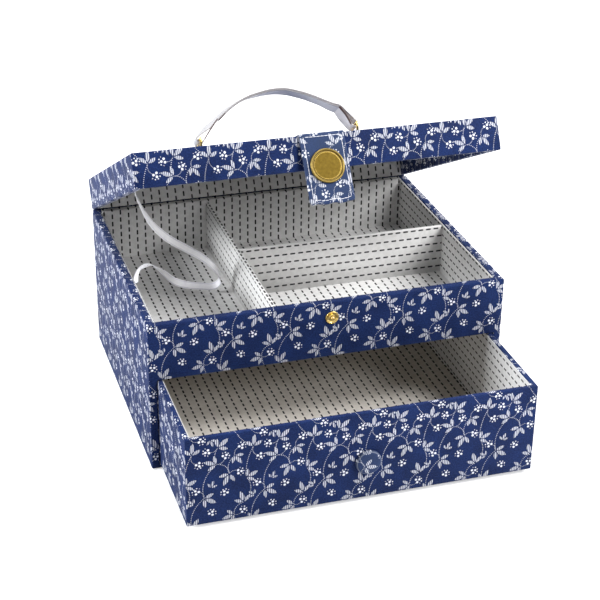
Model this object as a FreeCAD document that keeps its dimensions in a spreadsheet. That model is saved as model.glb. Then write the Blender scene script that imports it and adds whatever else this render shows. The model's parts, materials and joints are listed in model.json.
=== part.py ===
import FreeCAD, Part
import os
import Sketcher
from math import cos, hypot, pi, tan

# Fabric-covered sewing box with a hinged lid, a lift-up closure tab, a carrying strap and a drawer.
# X runs right along the front, Y to the back, Z up. The origin is the centre of the underside.
# Lengths are in millimetres and angles in degrees.

doc = FreeCAD.newDocument("SewingBox")
sheet = doc.addObject("Spreadsheet::Sheet", "Sizes")
subparts = []
XAXIS = "vector(1; 0; 0)"
ZAXIS = "vector(0; 0; 1)"


class Size:
    # A number, and the formula of the sheet's cells that gives it.
    def __init__(self, number, formula=None):
        self.number = float(number)
        self.formula = formula or str(number)

    def __float__(self):
        return self.number

    def join(self, sign, other, number):
        return Size(number, f"({self.formula} {sign} {other.formula})")

    def __add__(self, other):
        other = length(other)
        return self.join("+", other, self.number + other.number)

    def __sub__(self, other):
        other = length(other)
        return self.join("-", other, self.number - other.number)

    def __mul__(self, other):
        other = length(other)
        return self.join("*", other, self.number * other.number)

    def __truediv__(self, other):
        other = length(other)
        return self.join("/", other, self.number / other.number)

    def __rsub__(self, other):
        return length(other) - self

    def __rmul__(self, other):
        return length(other) * self

    def __neg__(self):
        return Size(0) - self


def length(value):
    return value if isinstance(value, Size) else Size(value)


def size(alias, number):
    row = 1 + sum(1 for cell in sheet.getUsedCells() if cell.startswith("A"))
    sheet.set(f"A{row}", alias)
    sheet.set(f"B{row}", str(number))
    sheet.setAlias(f"B{row}", alias)
    return Size(number, f"Sizes.{alias}")


# Case
case_width = size("case_width", 270)
case_depth = size("case_depth", 208)
case_height = size("case_height", 118)
cover = size("cover", 0.6)                      # printed cloth on its paper backing
wall_board = size("wall_board", 4.7)            # board inside every wall of case and lid
lining = size("lining", 1.0)                    # lining card on the tray's walls
lining_drop = size("lining_drop", 1.2)          # the lining card stops this far below the rim
base_paper = size("base_paper", 0.3)
base_paper_inset = size("base_paper_inset", 3)
base_board = size("base_board", 2.0)
bay_paper = size("bay_paper", 0.3)
cover_fold = size("cover_fold", 15)             # width of cloth folded under the base and into the drawer bay
rail_height = size("rail_height", 44.3)         # front rail above the drawer
tray_board = size("tray_board", 1.8)
floor_lining = size("floor_lining", 0.5)

# Dividers in the tray
divider_card = size("divider_card", 2.0)
divider_paper = size("divider_paper", 0.5)
divider_drop = size("divider_drop", 2.0)        # divider tops below the rim
left_compartment = size("left_compartment", 86.1)
rear_compartment = size("rear_compartment", 92.6)

# Lid
lid_height = size("lid_height", 25)
lid_board = size("lid_board", 2.5)
lid_gap = size("lid_gap", 0.3)                  # air between the two rims when shut
lid_open = size("lid_open", 26.84)              # angle at which the lid stands
hinge_strip = size("hinge_strip", 14)           # width of hinge cloth glued on each side of the fold
hinge_cloth_thickness = size("hinge_cloth_thickness", 0.4)
hinge_cloth_inset = size("hinge_cloth_inset", 1)

# Snap fastener and closure tab
closure_x = size("closure_x", 0.5)
stud_drop = size("stud_drop", 12.2)             # stud centre below the case rim
stud_flange_radius = size("stud_flange_radius", 5.0)
stud_flange_height = size("stud_flange_height", 0.5)
stud_ring_height = size("stud_ring_height", 1.1)
stud_ring_width = size("stud_ring_width", 0.9)
stud_ball_radius = size("stud_ball_radius", 1.9)
stud_ball_reach = size("stud_ball_reach", 3.4)
stud_neck_radius = size("stud_neck_radius", 1.5)
stud_shank_radius = size("stud_shank_radius", 1.5)
shank_clearance = size("shank_clearance", 0.1)
washer_radius = size("washer_radius", 4.0)
washer_thickness = size("washer_thickness", 0.6)
tab_width = size("tab_width", 33)
tab_length = size("tab_length", 50)
tab_cloth = size("tab_cloth", 0.4)
tab_filling = size("tab_filling", 1.6)
tab_seam = size("tab_seam", 3.2)                # flat margin outside the stitching
tab_gap = size("tab_gap", 0.3)                  # air between the tab and the lid's front face
tab_corner = size("tab_corner", 3)
tab_lift = size("tab_lift", 9)                  # angle at which the tab stands off the lid front
tab_root_length = size("tab_root_length", 16)
tab_root_thickness = size("tab_root_thickness", 0.6)
tab_root_setback = size("tab_root_setback", 0.8)  # behind the lid's front edge, clear of the tab's swing
tab_top_gap = size("tab_top_gap", 0.6)          # the tab's top below the lid's edge
button_radius = size("button_radius", 12.5)
button_plate = size("button_plate", 1.2)
button_rim_width = size("button_rim_width", 1.3)
button_rim_height = size("button_rim_height", 2.0)
button_drop = size("button_drop", 24)           # button centre below the tab's top
button_post_radius = size("button_post_radius", 1.6)
button_back_radius = size("button_back_radius", 4.5)
button_back_thickness = size("button_back_thickness", 0.6)
socket_radius = size("socket_radius", 5.5)
socket_hole_clearance = size("socket_hole_clearance", 0.2)
socket_thickness = size("socket_thickness", 1.2)
socket_pocket_clearance = size("socket_pocket_clearance", 0.7)
socket_pocket_depth = size("socket_pocket_depth", 1.2)

# Handle
handle_shift = size("handle_shift", -2)
handle_span = size("handle_span", 124)          # between the two ring bars
handle_lean = size("handle_lean", 12)           # backward lean of the strap from the lid's normal
ring_centre_height = size("ring_centre_height", 12)
ring_radius = size("ring_radius", 8.8)
ring_wire_radius = size("ring_wire_radius", 1.0)
saddle_radius = size("saddle_radius", 2.1)
saddle_width = size("saddle_width", 3.0)
saddle_clearance = size("saddle_clearance", 0.35)
plate_length = size("plate_length", 16)
plate_width = size("plate_width", 9)
plate_thickness = size("plate_thickness", 0.8)
rivet_spacing = size("rivet_spacing", 10.4)
rivet_radius = size("rivet_radius", 1.0)
rivet_head_radius = size("rivet_head_radius", 1.8)
rivet_head_height = size("rivet_head_height", 0.7)
strap_width = size("strap_width", 12)
strap_ply = size("strap_ply", 1.0)              # two plies make the arch, one goes round each ring bar
strap_height = size("strap_height", 33.6)       # top of the arch above the ring bars
strap_loop_slack = size("strap_loop_slack", 1.1)
strap_seam_length = size("strap_seam_length", 4)
strap_seam_gap = size("strap_seam_gap", 0.2)
left_loop_length = size("left_loop_length", 20)  # across the lid, from the ring bar to the seam
left_seam_height = size("left_seam_height", 18.6)
right_loop_length = size("right_loop_length", 8)
right_seam_height = size("right_seam_height", 13.4)
soft_gap = size("soft_gap", 0.3)                # least air between soft pieces that hang in each other

# Drawer
drawer_out = size("drawer_out", 81.2)
drawer_side_gap = size("drawer_side_gap", 0.5)
drawer_lift = size("drawer_lift", 0.2)
drawer_top_gap = size("drawer_top_gap", 0.5)
drawer_back_gap = size("drawer_back_gap", 2.7)
drawer_board = size("drawer_board", 2.5)
drawer_base_board = size("drawer_base_board", 2.0)
drawer_lining = size("drawer_lining", 0.6)
knob_x = size("knob_x", 1.7)
knob_height = size("knob_height", 33.5)
knob_ball_radius = size("knob_ball_radius", 12.7)
knob_rise = size("knob_rise", 3.5)
knob_cloth = size("knob_cloth", 0.5)
knob_shank_radius = size("knob_shank_radius", 1.5)

# Lid stay ribbon
ribbon_tube_radius = size("ribbon_tube_radius", 1.0)

doc.recompute()

# Levels and faces that the pieces share
half = case_width / 2
deep = case_depth / 2
board_face = cover + wall_board                 # inner face of a wall board, from the outside
rim = cover + wall_board + cover                # a wall with the cloth folded over its rim and down inside
base_low = base_paper + cover
base_top = base_low + base_board
bay_floor = base_top + bay_paper
rail_low = case_height - rail_height
tray_floor = rail_low + tray_board
tray_top = tray_floor + floor_lining
board_top = case_height - cover
lining_top = case_height - lining_drop
divider_top = case_height - divider_drop
inside_x = half - rim - lining
inside_y = deep - rim - lining
lid_under = lid_height - cover - lid_board      # underside of the lid's top board
tab_back = tab_gap
tab_front = tab_back + tab_cloth + tab_filling + tab_cloth
socket_drop = lid_height + stud_drop


def spot(at, turn=f"rotation({ZAXIS}; 0)"):
    x, y, z = (length(value).formula for value in at)
    return f"placement(vector({x}; {y}; {z}); {turn})"


def about(axis, angle):
    return f"rotation({axis}; {length(angle).formula})"


def place(thing, seat=None, at=(0, 0, 0), turn=f"rotation({ZAXIS}; 0)"):
    where = spot(at, turn)
    if seat:
        where = f"{seat}.Placement * {where}"
    thing.setExpression("Placement", where)
    return thing


def frame(name, *steps):
    # A place that moves with what it carries: the lid, the tab, the handle, the drawer.
    system = doc.addObject("Part::LocalCoordinateSystem", name)
    system.setExpression("Placement", " * ".join(steps))
    return name


lid_frame = frame(
    "LidFrame",
    spot((0, deep, case_height), about(XAXIS, -lid_open)),
)
tab_frame = frame(
    "TabFrame",
    "LidFrame.Placement",
    spot((closure_x, -case_depth, lid_height), about(XAXIS, 90 - tab_lift)),
)
handle_frame = frame(
    "HandleFrame",
    "LidFrame.Placement",
    spot((handle_shift, -deep, lid_height + ring_centre_height), about(XAXIS, -handle_lean)),
)
drawer_frame = frame("DrawerFrame", spot((0, -drawer_out, 0)))
stud_frame = frame("StudFrame", spot((closure_x, -deep, case_height - stud_drop), about(XAXIS, 90)))
knob_frame = frame(
    "KnobFrame",
    "DrawerFrame.Placement",
    spot((knob_x, -deep, knob_height), about(XAXIS, 90)),
)


def keep(thing, node):
    thing.Label = node
    subparts.append(thing)
    return thing


def block(name, x, y, z, seat=None):
    box = doc.addObject("Part::Box", name)
    low = [length(pair[0]) for pair in (x, y, z)]
    span = [length(pair[1]) - pair[0] for pair in (x, y, z)]
    box.setExpression("Length", span[0].formula)
    box.setExpression("Width", span[1].formula)
    box.setExpression("Height", span[2].formula)
    return place(box, seat, low)


def rod(name, radius, height, at=(0, 0, 0), turn=f"rotation({ZAXIS}; 0)"):
    cylinder = doc.addObject("Part::Cylinder", name)
    cylinder.setExpression("Radius", length(radius).formula)
    cylinder.setExpression("Height", length(height).formula)
    return place(cylinder, None, at, turn)


def ball(name, radius, at=(0, 0, 0)):
    sphere = doc.addObject("Part::Sphere", name)
    sphere.setExpression("Radius", length(radius).formula)
    return place(sphere, None, at)


def fused(name, things, seat=None):
    fusion = doc.addObject("Part::MultiFuse", name)
    fusion.Shapes = things
    fusion.Refine = True
    return place(fusion, seat)


def cut(name, base, tools, seat=None):
    tool = tools[0] if len(tools) == 1 else fused(name + "_tools", tools)
    result = doc.addObject("Part::Cut", name)
    result.Base = base
    result.Tool = tool
    result.Refine = True
    return place(result, seat)


def plane_of(body, role):
    return next(item for item in body.Origin.OriginFeatures if item.Role == role)


def turned(name, profile, seat, at=(0, 0, 0)):
    # A body turned about its own Z axis from a closed profile of radius and height pairs.
    body = doc.addObject("PartDesign::Body", name)
    sketch = body.newObject("Sketcher::SketchObject", name + "_profile")
    sketch.AttachmentSupport = [(plane_of(body, "XZ_Plane"), "")]
    sketch.MapMode = "FlatFace"
    corners = [(length(radius), length(height)) for radius, height in profile]
    points = [FreeCAD.Vector(float(radius), float(height), 0) for radius, height in corners]
    for start, end in zip(points, points[1:] + points[:1]):
        sketch.addGeometry(Part.LineSegment(start, end), False)
    for index in range(len(points)):
        following = (index + 1) % len(points)
        sketch.addConstraint(Sketcher.Constraint("Coincident", index, 2, following, 1))
    for index, (radius, height) in enumerate(corners):
        pin_down(sketch, index, "DistanceX", radius, -2)
        pin_down(sketch, index, "DistanceY", height, -1)
    turn = body.newObject("PartDesign::Revolution", name + "_turn")
    turn.Profile = sketch
    turn.ReferenceAxis = (sketch, ["V_Axis"])
    turn.Angle = 360
    return place(body, seat, at)


def pin_down(sketch, index, kind, value, axis):
    if value.number == 0:
        sketch.addConstraint(Sketcher.Constraint("PointOnObject", index, 1, axis))
        return
    number = sketch.addConstraint(Sketcher.Constraint(kind, -1, 1, index, 1, value.number))
    sketch.setExpression(f"Constraints[{number}]", value.formula)


def sheet_body(name, x, y, z, corner, seat):
    # A flat body padded from a rectangle, with its two lower corners rounded.
    body = doc.addObject("PartDesign::Body", name)
    sketch = body.newObject("Sketcher::SketchObject", name + "_outline")
    sketch.AttachmentSupport = [(plane_of(body, "XY_Plane"), "")]
    sketch.MapMode = "FlatFace"
    corners = [(x[0], y[0]), (x[1], y[0]), (x[1], y[1]), (x[0], y[1])]
    corners = [(length(first), length(second)) for first, second in corners]
    points = [FreeCAD.Vector(float(first), float(second), 0) for first, second in corners]
    for start, end in zip(points, points[1:] + points[:1]):
        sketch.addGeometry(Part.LineSegment(start, end), False)
    for index in range(4):
        sketch.addConstraint(Sketcher.Constraint("Coincident", index, 2, (index + 1) % 4, 1))
    for index, (first, second) in enumerate(corners):
        pin_down(sketch, index, "DistanceX", first, -2)
        pin_down(sketch, index, "DistanceY", second, -1)
    pad = body.newObject("PartDesign::Pad", name + "_pad")
    pad.Profile = sketch
    pad.setExpression("Length", (length(z[1]) - z[0]).formula)
    doc.recompute()
    low_edges = [
        f"Edge{index + 1}"
        for index, edge in enumerate(pad.Shape.Edges)
        if abs(edge.BoundBox.YMax - points[0].y) < 1e-6 and edge.BoundBox.ZLength > 1e-6
    ]
    rounding = body.newObject("PartDesign::Fillet", name + "_corners")
    rounding.Base = (pad, low_edges)
    rounding.setExpression("Radius", length(corner).formula)
    return place(body, seat, (0, 0, z[0]))


def wall_set(name, x, y, z, thickness, seat, node):
    # Four upright sheets round a rectangle: the side ones run the full depth, the others fit between.
    left, right = x
    front, back = y
    keep(block(name + "_left", (left, left + thickness), y, z, seat), node.format("left"))
    keep(block(name + "_right", (right - thickness, right), y, z, seat), node.format("right"))
    between = (left + thickness, right - thickness)
    keep(block(name + "_back", between, (back - thickness, back), z, seat), node.format("back"))
    return between, (front, front + thickness)


def folded_cover(name, x, y, z, wall, inside_low, deep_face):
    # Cloth over the outside of a tray, its rim and the inside of its walls down to inside_low.
    # deep_face is the closed side: the cloth covers it all over.
    grown = [(pair[0] + cover, pair[1] - cover) for pair in (x, y, z)]
    inner = [(pair[0] + cover + wall, pair[1] - cover - wall) for pair in (x, y)]
    mouth = [(pair[0] + cover, pair[1] - cover) for pair in inner]
    outer = block(name + "_outer", x, y, z)
    hollow = block(name + "_hollow", *grown)
    if deep_face == "below":
        opening = block(name + "_mouth", *mouth, (z[1] - 2 * cover, z[1] + cover))
        leg_z = (inside_low, z[1] - cover)
    else:
        opening = block(name + "_mouth", *mouth, (z[0] - cover, z[0] + 2 * cover))
        leg_z = (z[0] + cover, inside_low)
    shell = cut(name + "_shell", outer, [hollow, opening])
    legs = cut(
        name + "_legs",
        block(name + "_leg_outer", *inner, leg_z),
        [block(name + "_leg_inner", *mouth, (leg_z[0] - 1, leg_z[1] + 1))],
    )
    return shell, legs


# Case boards
keep(
    block(
        "BasePaper",
        (-half + base_paper_inset, half - base_paper_inset),
        (-deep + base_paper_inset, deep - base_paper_inset),
        (0, base_paper),
    ),
    "base_paper",
)
keep(
    block("BaseBoard", (-half + cover, half - cover), (-deep + cover, deep - cover), (base_low, base_top)),
    "case_base_board",
)
keep(
    block(
        "BayPaper",
        (-half + rim, half - rim),
        (-deep + cover, deep - board_face),
        (base_top, bay_floor),
    ),
    "drawer_bay_paper",
)
case_between, rail_y = wall_set(
    "CaseBoard",
    (-half + cover, half - cover),
    (-deep + cover, deep - cover),
    (base_top, board_top),
    wall_board,
    None,
    "case_{}_board",
)
stud_hole_radius = stud_shank_radius + shank_clearance
rail_raw = block("RailRaw", case_between, rail_y, (rail_low + cover, board_top))
stud_place = (closure_x, -deep, case_height - stud_drop)
stud_hole = rod("StudHole", stud_hole_radius, rim + 1, stud_place, about(XAXIS, -90))
stud_recess = rod(
    "StudRecess",
    washer_radius + shank_clearance,
    washer_thickness + shank_clearance,
    (closure_x, -deep + board_face, case_height - stud_drop),
    about(XAXIS, 90),
)
keep(cut("FrontRail", rail_raw, [stud_hole, stud_recess]), "case_front_rail")
keep(
    block("TrayBoard", case_between, (-deep + board_face, deep - board_face), (rail_low, tray_floor)),
    "tray_floor_board",
)

# Case cover: over all four walls and their rims, folded under the base and into the drawer bay
case_shell, case_legs = folded_cover(
    "CaseCover",
    (-half, half),
    (-deep, deep),
    (base_paper, case_height),
    wall_board,
    tray_floor,
    "below",
)
under_opening = block(
    "UnderOpening",
    (-half + cover_fold, half - cover_fold),
    (-deep + cover_fold, deep - cover_fold),
    (0, base_low + cover),
)
bay_opening = block(
    "BayOpening",
    (-half + rim, half - rim),
    (-deep - 1, -deep + 2 * cover),
    (base_top, rail_low),
)
front_stud_hole = rod("FrontStudHole", stud_hole_radius, 3 * cover, stud_place, about(XAXIS, -90))
place(front_stud_hole, None, (closure_x, -deep - cover, case_height - stud_drop), about(XAXIS, -90))
case_skin = cut("CaseSkin", case_shell, [under_opening, bay_opening, front_stud_hole])
bay_fold_y = (-deep + cover / 2, -deep + cover + cover_fold)
left_fold = block("LeftFold", (-half + board_face, -half + rim), bay_fold_y, (base_top, rail_low))
right_fold = block("RightFold", (half - rim, half - board_face), bay_fold_y, (base_top, rail_low))
rail_fold = block(
    "RailFold",
    (-half + board_face, half - board_face),
    (-deep + cover / 2, -deep + board_face),
    (rail_low, rail_low + cover),
)
keep(
    fused("CaseCoverWhole", [case_skin, case_legs, left_fold, right_fold, rail_fold]),
    "case_cover",
)

# Tray linings
tray_x = (-half + rim, half - rim)
tray_y = (-deep + rim, deep - rim)
lining_z = (tray_floor, lining_top)
lining_between, front_lining_y = wall_set(
    "TrayLining", tray_x, tray_y, lining_z, lining, None, "tray_{}_lining"
)
keep(block("TrayLining_front", lining_between, front_lining_y, lining_z), "tray_front_lining")
keep(
    block("TrayFloorLining", lining_between, (-inside_y, inside_y), (tray_floor, tray_top)),
    "tray_floor_lining",
)

# Dividers: a card with paper folded over its top and down both faces
long_x = (-inside_x + left_compartment, -inside_x + left_compartment + divider_card + 2 * divider_paper)
cross_y = (inside_y - rear_compartment - divider_card - 2 * divider_paper, inside_y - rear_compartment)


def divider(name, x, y, across):
    card_x = (x[0] + divider_paper, x[1] - divider_paper) if across == "x" else x
    card_y = (y[0] + divider_paper, y[1] - divider_paper) if across == "y" else y
    card_z = (tray_top, divider_top - divider_paper)
    keep(block(name + "Card", card_x, card_y, card_z), f"{name.lower()}_divider_card")
    paper = block(name + "PaperOuter", x, y, (tray_top, divider_top))
    gap = block(name + "PaperGap", card_x, card_y, (tray_top - 1, divider_top - divider_paper))
    keep(cut(name + "Paper", paper, [gap]), f"{name.lower()}_divider_paper")


divider("Long", long_x, (-inside_y, inside_y), "x")
divider("Cross", (long_x[1], inside_x), cross_y, "y")

# Snap stud on the front rail, riveted over a washer behind the board
ball_centre = stud_ball_reach - stud_ball_radius
stud_rim_inner = stud_flange_radius - stud_ring_width
keep(
    fused(
        "SnapStud",
        [
            rod("StudShank", stud_shank_radius, board_face, (0, 0, -board_face)),
            rod("StudFlange", stud_flange_radius, stud_flange_height),
            cut(
                "StudRing",
                rod("StudRingOuter", stud_flange_radius, stud_ring_height),
                [rod("StudRingInner", stud_rim_inner, stud_ring_height + 1)],
            ),
            rod("StudNeck", stud_neck_radius, ball_centre),
            cut(
                "StudBall",
                ball("StudBallWhole", stud_ball_radius, (0, 0, ball_centre)),
                [rod("StudBallFoot", stud_flange_radius, stud_ball_radius, (0, 0, -stud_ball_radius))],
            ),
        ],
        stud_frame,
    ),
    "snap_stud",
)
keep(
    turned(
        "SnapStudWasher",
        [
            (stud_shank_radius + shank_clearance / 2, 0),
            (washer_radius, 0),
            (washer_radius, washer_thickness),
            (stud_shank_radius + shank_clearance / 2, washer_thickness),
        ],
        stud_frame,
        (0, 0, -board_face),
    ),
    "snap_stud_washer",
)

# Lid boards, worked out with the hinge line as origin
lid_y = (-case_depth + cover, -cover)
lid_wall_z = (lid_gap + cover, lid_under)
rivet_x = [
    handle_shift + side * handle_span / 2 + place_in_plate * rivet_spacing / 2
    for side in (-1, 1)
    for place_in_plate in (-1, 1)
]


def rivet_holes(name):
    return [
        rod(f"{name}{index}", rivet_radius + shank_clearance / 2, lid_height, (x, -deep, lid_under - 1))
        for index, x in enumerate(rivet_x)
    ]


lid_top_raw = block("LidTopRaw", (-half + cover, half - cover), lid_y, (lid_under, lid_height - cover))
keep(cut("LidTop", lid_top_raw, rivet_holes("LidTopHole"), lid_frame), "lid_top_board")
lid_between, lid_front_y = wall_set(
    "LidBoard",
    (-half + cover, half - cover),
    lid_y,
    lid_wall_z,
    wall_board,
    lid_frame,
    "lid_{}_board",
)
keep(block("LidBoard_front", lid_between, lid_front_y, lid_wall_z, lid_frame), "lid_front_board")

lid_shell, lid_legs = folded_cover(
    "LidCover",
    (-half, half),
    (-case_depth, 0),
    (lid_gap, lid_height),
    wall_board,
    lid_under,
    "above",
)
lid_skin = cut("LidSkin", lid_shell, rivet_holes("LidCoverHole"))
keep(fused("LidCoverWhole", [lid_skin, lid_legs], lid_frame), "lid_cover")

# Lid linings: paper under the top and on the back rim
keep(
    block(
        "LidTopLining",
        tray_x,
        (-case_depth + rim, -rim - lining),
        (lid_under - floor_lining, lid_under),
        lid_frame,
    ),
    "lid_top_lining",
)
keep(
    block("LidBackLining", tray_x, (-rim - lining, -rim), (lid_gap + lining_drop, lid_under), lid_frame),
    "lid_back_lining",
)

# Hinge cloth glued on the back of the case and of the lid
hinge_x = (-half + hinge_cloth_inset, half - hinge_cloth_inset)
lower_leg = block(
    "HingeLower",
    hinge_x,
    (deep, deep + hinge_cloth_thickness),
    (case_height - hinge_strip, case_height),
)
upper_leg = block("HingeUpper", hinge_x, (0, hinge_cloth_thickness), (0, hinge_strip), lid_frame)
keep(fused("HingeCloth", [lower_leg, upper_leg]), "hinge_cloth")

# Handle plates: a riveted strip with a raised eye that the ring slides through
wire_height = ring_centre_height - ring_radius
plate_y = (-deep - plate_width / 2, -deep + plate_width / 2)


def handle_plate(side, label):
    x = handle_shift + side * handle_span / 2
    name = f"Plate{label}"
    strip = block(
        name + "Strip",
        (x - plate_length / 2, x + plate_length / 2),
        plate_y,
        (lid_height, lid_height + plate_thickness),
    )
    foot = block(
        name + "Foot",
        (x - saddle_radius, x + saddle_radius),
        (-deep - saddle_width / 2, -deep + saddle_width / 2),
        (lid_height, lid_height + wire_height),
    )
    eye = rod(
        name + "Eye",
        saddle_radius,
        saddle_width,
        (x, -deep - saddle_width / 2, lid_height + wire_height),
        about(XAXIS, -90),
    )
    bore = rod(
        name + "Bore",
        ring_wire_radius + saddle_clearance,
        saddle_width + 2,
        (x, -deep - saddle_width / 2 - 1, lid_height + wire_height),
        about(XAXIS, -90),
    )
    whole = fused(name + "Whole", [strip, foot, eye])
    keep(cut(name, whole, [bore] + rivet_holes(name + "Hole"), lid_frame), f"handle_plate_{label.lower()}")


handle_plate(-1, "Left")
handle_plate(1, "Right")

rivets = []
for index, x in enumerate(rivet_x):
    head_low = lid_height + plate_thickness
    shank = rod(f"RivetShank{index}", rivet_radius, head_low - lid_under, (x, -deep, lid_under))
    head = rod(f"RivetHead{index}", rivet_head_radius, rivet_head_height, (x, -deep, head_low))
    rivets.append(fused(f"Rivet{index}", [shank, head]))
handle_rivets = doc.addObject("Part::Compound", "HandleRivets")
handle_rivets.Links = rivets
keep(place(handle_rivets, lid_frame), "handle_rivets")

# Handle rings: a straight bar through the strap's loop and a half ring through the plate's eye
for side, label in ((-1, "Left"), (1, "Right")):
    bar_x = side * handle_span / 2
    half_ring = doc.addObject("Part::Torus", f"Ring{label}Half")
    half_ring.setExpression("Radius1", ring_radius.formula)
    half_ring.setExpression("Radius2", ring_wire_radius.formula)
    half_ring.Angle3 = 180
    place(half_ring, None, (bar_x, 0, 0), "rotation(90; 0; -90)")
    bar = rod(
        f"Ring{label}Bar",
        ring_wire_radius,
        2 * ring_radius,
        (bar_x, -ring_radius, 0),
        about(XAXIS, -90),
    )
    ends = [
        ball(f"Ring{label}End{index}", ring_wire_radius, (bar_x, sign * ring_radius, 0))
        for index, sign in enumerate((-1, 1))
    ]
    keep(fused(f"Ring{label}", [half_ring, bar] + ends, handle_frame), f"handle_ring_{label.lower()}")


# Strap: an arch whose ends loop round the ring bars, drawn in the handle's own upright plane
def upright(x, z):
    return FreeCAD.Vector(x, 0, z)


def widened(face, width):
    solid = face.extrude(FreeCAD.Vector(0, width, 0))
    solid.translate(FreeCAD.Vector(0, -width / 2, 0))
    return solid


def through(points):
    curve = Part.BSplineCurve()
    curve.interpolate([upright(x, z) for x, z in points])
    return curve


def band(points, thickness):
    sides = ([], [])
    for index, (x, z) in enumerate(points):
        before = points[max(index - 1, 0)]
        after = points[min(index + 1, len(points) - 1)]
        run = hypot(after[0] - before[0], after[1] - before[1])
        normal = (-(after[1] - before[1]) / run, (after[0] - before[0]) / run)
        for side, sign in zip(sides, (1, -1)):
            side.append((x + sign * normal[0] * thickness / 2, z + sign * normal[1] * thickness / 2))
    edges = [through(side).toShape() for side in sides]
    for end in (0, -1):
        edges.append(Part.LineSegment(upright(*sides[0][end]), upright(*sides[1][end])).toShape())
    return Part.Face(Part.Wire(Part.__sortEdges__(edges)))


def teardrop(centre, tip, radius, half_tip, width):
    # A disc round centre with straight flanks that close in on tip.
    away = hypot(tip[0] - centre[0], tip[1] - centre[1])
    side = (-(tip[1] - centre[1]) / away, (tip[0] - centre[0]) / away)
    corners = [
        upright(end[0] + sign * side[0] * reach, end[1] + sign * side[1] * reach)
        for end, reach, sign in (
            (centre, radius, 1),
            (tip, half_tip, 1),
            (tip, half_tip, -1),
            (centre, radius, -1),
        )
    ]
    flanks = widened(Part.Face(Part.makePolygon(corners + corners[:1])), width)
    disc = Part.makeCircle(radius, upright(*centre), FreeCAD.Vector(0, 1, 0))
    return flanks.fuse(widened(Part.Face(Part.Wire(disc)), width))


def toward(start, end, distance):
    away = hypot(end[0] - start[0], end[1] - start[1])
    return tuple(a + (b - a) * distance / away for a, b in zip(start, end))


# The arch's line, in shares of half the span and of the height
strap_arch = [(-0.42, 0.84), (-0.16, 0.97), (0.13, 1), (0.34, 0.9), (0.6, 0.68), (0.78, 0.48)]


def handle_strap():
    reach = float(handle_span) / 2
    ply = float(strap_ply)
    width = float(strap_width)
    hole = float(ring_wire_radius + strap_loop_slack)
    height = float(strap_height)
    left_join = (-reach + float(left_loop_length), float(left_seam_height))
    right_join = (reach - float(right_loop_length), float(right_seam_height))
    arch = [(reach * along, height * up) for along, up in strap_arch]
    whole = widened(band([left_join] + arch + [right_join], 2 * ply), width)
    loops = [((-reach, 0), left_join), ((reach, 0), right_join)]
    loops = [(toward(bar, join, float(strap_loop_slack - soft_gap)), join) for bar, join in loops]
    for centre, join in loops:
        whole = whole.fuse(teardrop(centre, join, hole + ply, ply, width))
    for centre, join in loops:
        tip = toward(join, centre, float(strap_seam_length))
        whole = whole.cut(teardrop(centre, tip, hole, float(strap_seam_gap), width))
    whole = whole.removeSplitter()
    return whole.Solids[0]


strap = doc.addObject("Part::Feature", "HandleStrap")
strap.Shape = handle_strap()
keep(place(strap, handle_frame), "handle_strap")

# Closure tab: a stitched cloth sleeve round a stiff filling. Its own Y runs up to the lid's edge.
tab_x = (-tab_width / 2, tab_width / 2)
core_x = (-tab_width / 2 + tab_seam, tab_width / 2 - tab_seam)
core_y = (-tab_length + tab_seam, -tab_seam)
core_z = (tab_back + tab_cloth, tab_back + tab_cloth + tab_filling)
pocket_radius = stud_ball_radius + socket_pocket_clearance


def tab_holes(name):
    post = rod(
        name + "Post",
        button_post_radius + shank_clearance / 2,
        tab_front + 2,
        (0, -button_drop, -1),
    )
    pocket = rod(name + "Pocket", pocket_radius, socket_pocket_depth + 1, (0, -socket_drop, tab_back - 1))
    return [post, pocket]


keep(
    cut("TabCore", block("TabCoreRaw", core_x, core_y, core_z), tab_holes("TabCoreHole"), tab_frame),
    "tab_core",
)
tab_sleeve = sheet_body(
    "TabSleeve", tab_x, (-tab_length, -tab_top_gap), (tab_back, tab_front), tab_corner, None
)
tab_space = block("TabSpace", core_x, core_y, core_z)
keep(cut("TabCover", tab_sleeve, [tab_space] + tab_holes("TabCoverHole"), tab_frame), "tab_cover")
keep(
    block(
        "TabRoot",
        (closure_x - tab_width / 2, closure_x + tab_width / 2),
        (-case_depth + tab_root_setback, -case_depth + tab_root_length),
        (lid_height, lid_height + tab_root_thickness),
        lid_frame,
    ),
    "tab_root",
)

# Button on the tab: a dished disc with a raised rim, its post riveted over a plate behind the tab
button_back_low = tab_back - button_back_thickness
rim_slope = button_rim_width / 3
keep(
    turned(
        "ButtonCap",
        [
            (0, button_back_low),
            (button_post_radius, button_back_low),
            (button_post_radius, tab_front),
            (button_radius - rim_slope, tab_front),
            (button_radius, tab_front + button_plate / 2),
            (button_radius - rim_slope, tab_front + button_rim_height),
            (button_radius - button_rim_width + rim_slope, tab_front + button_rim_height),
            (button_radius - button_rim_width - rim_slope, tab_front + button_plate),
            (0, tab_front + button_plate),
        ],
        tab_frame,
        (0, -button_drop, 0),
    ),
    "button_cap",
)
keep(
    turned(
        "ButtonBackPlate",
        [
            (button_post_radius + shank_clearance / 2, button_back_low),
            (button_back_radius, button_back_low),
            (button_back_radius, tab_back),
            (button_post_radius + shank_clearance / 2, tab_back),
        ],
        tab_frame,
        (0, -button_drop, 0),
    ),
    "button_back_plate",
)
socket_hole = stud_ball_radius + socket_hole_clearance
keep(
    turned(
        "SnapSocket",
        [
            (socket_hole, tab_back - socket_thickness),
            (socket_radius - socket_thickness / 3, tab_back - socket_thickness),
            (socket_radius, tab_back - socket_thickness * 2 / 3),
            (socket_radius, tab_back),
            (socket_hole, tab_back),
        ],
        tab_frame,
        (0, -socket_drop, 0),
    ),
    "snap_socket",
)

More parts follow.
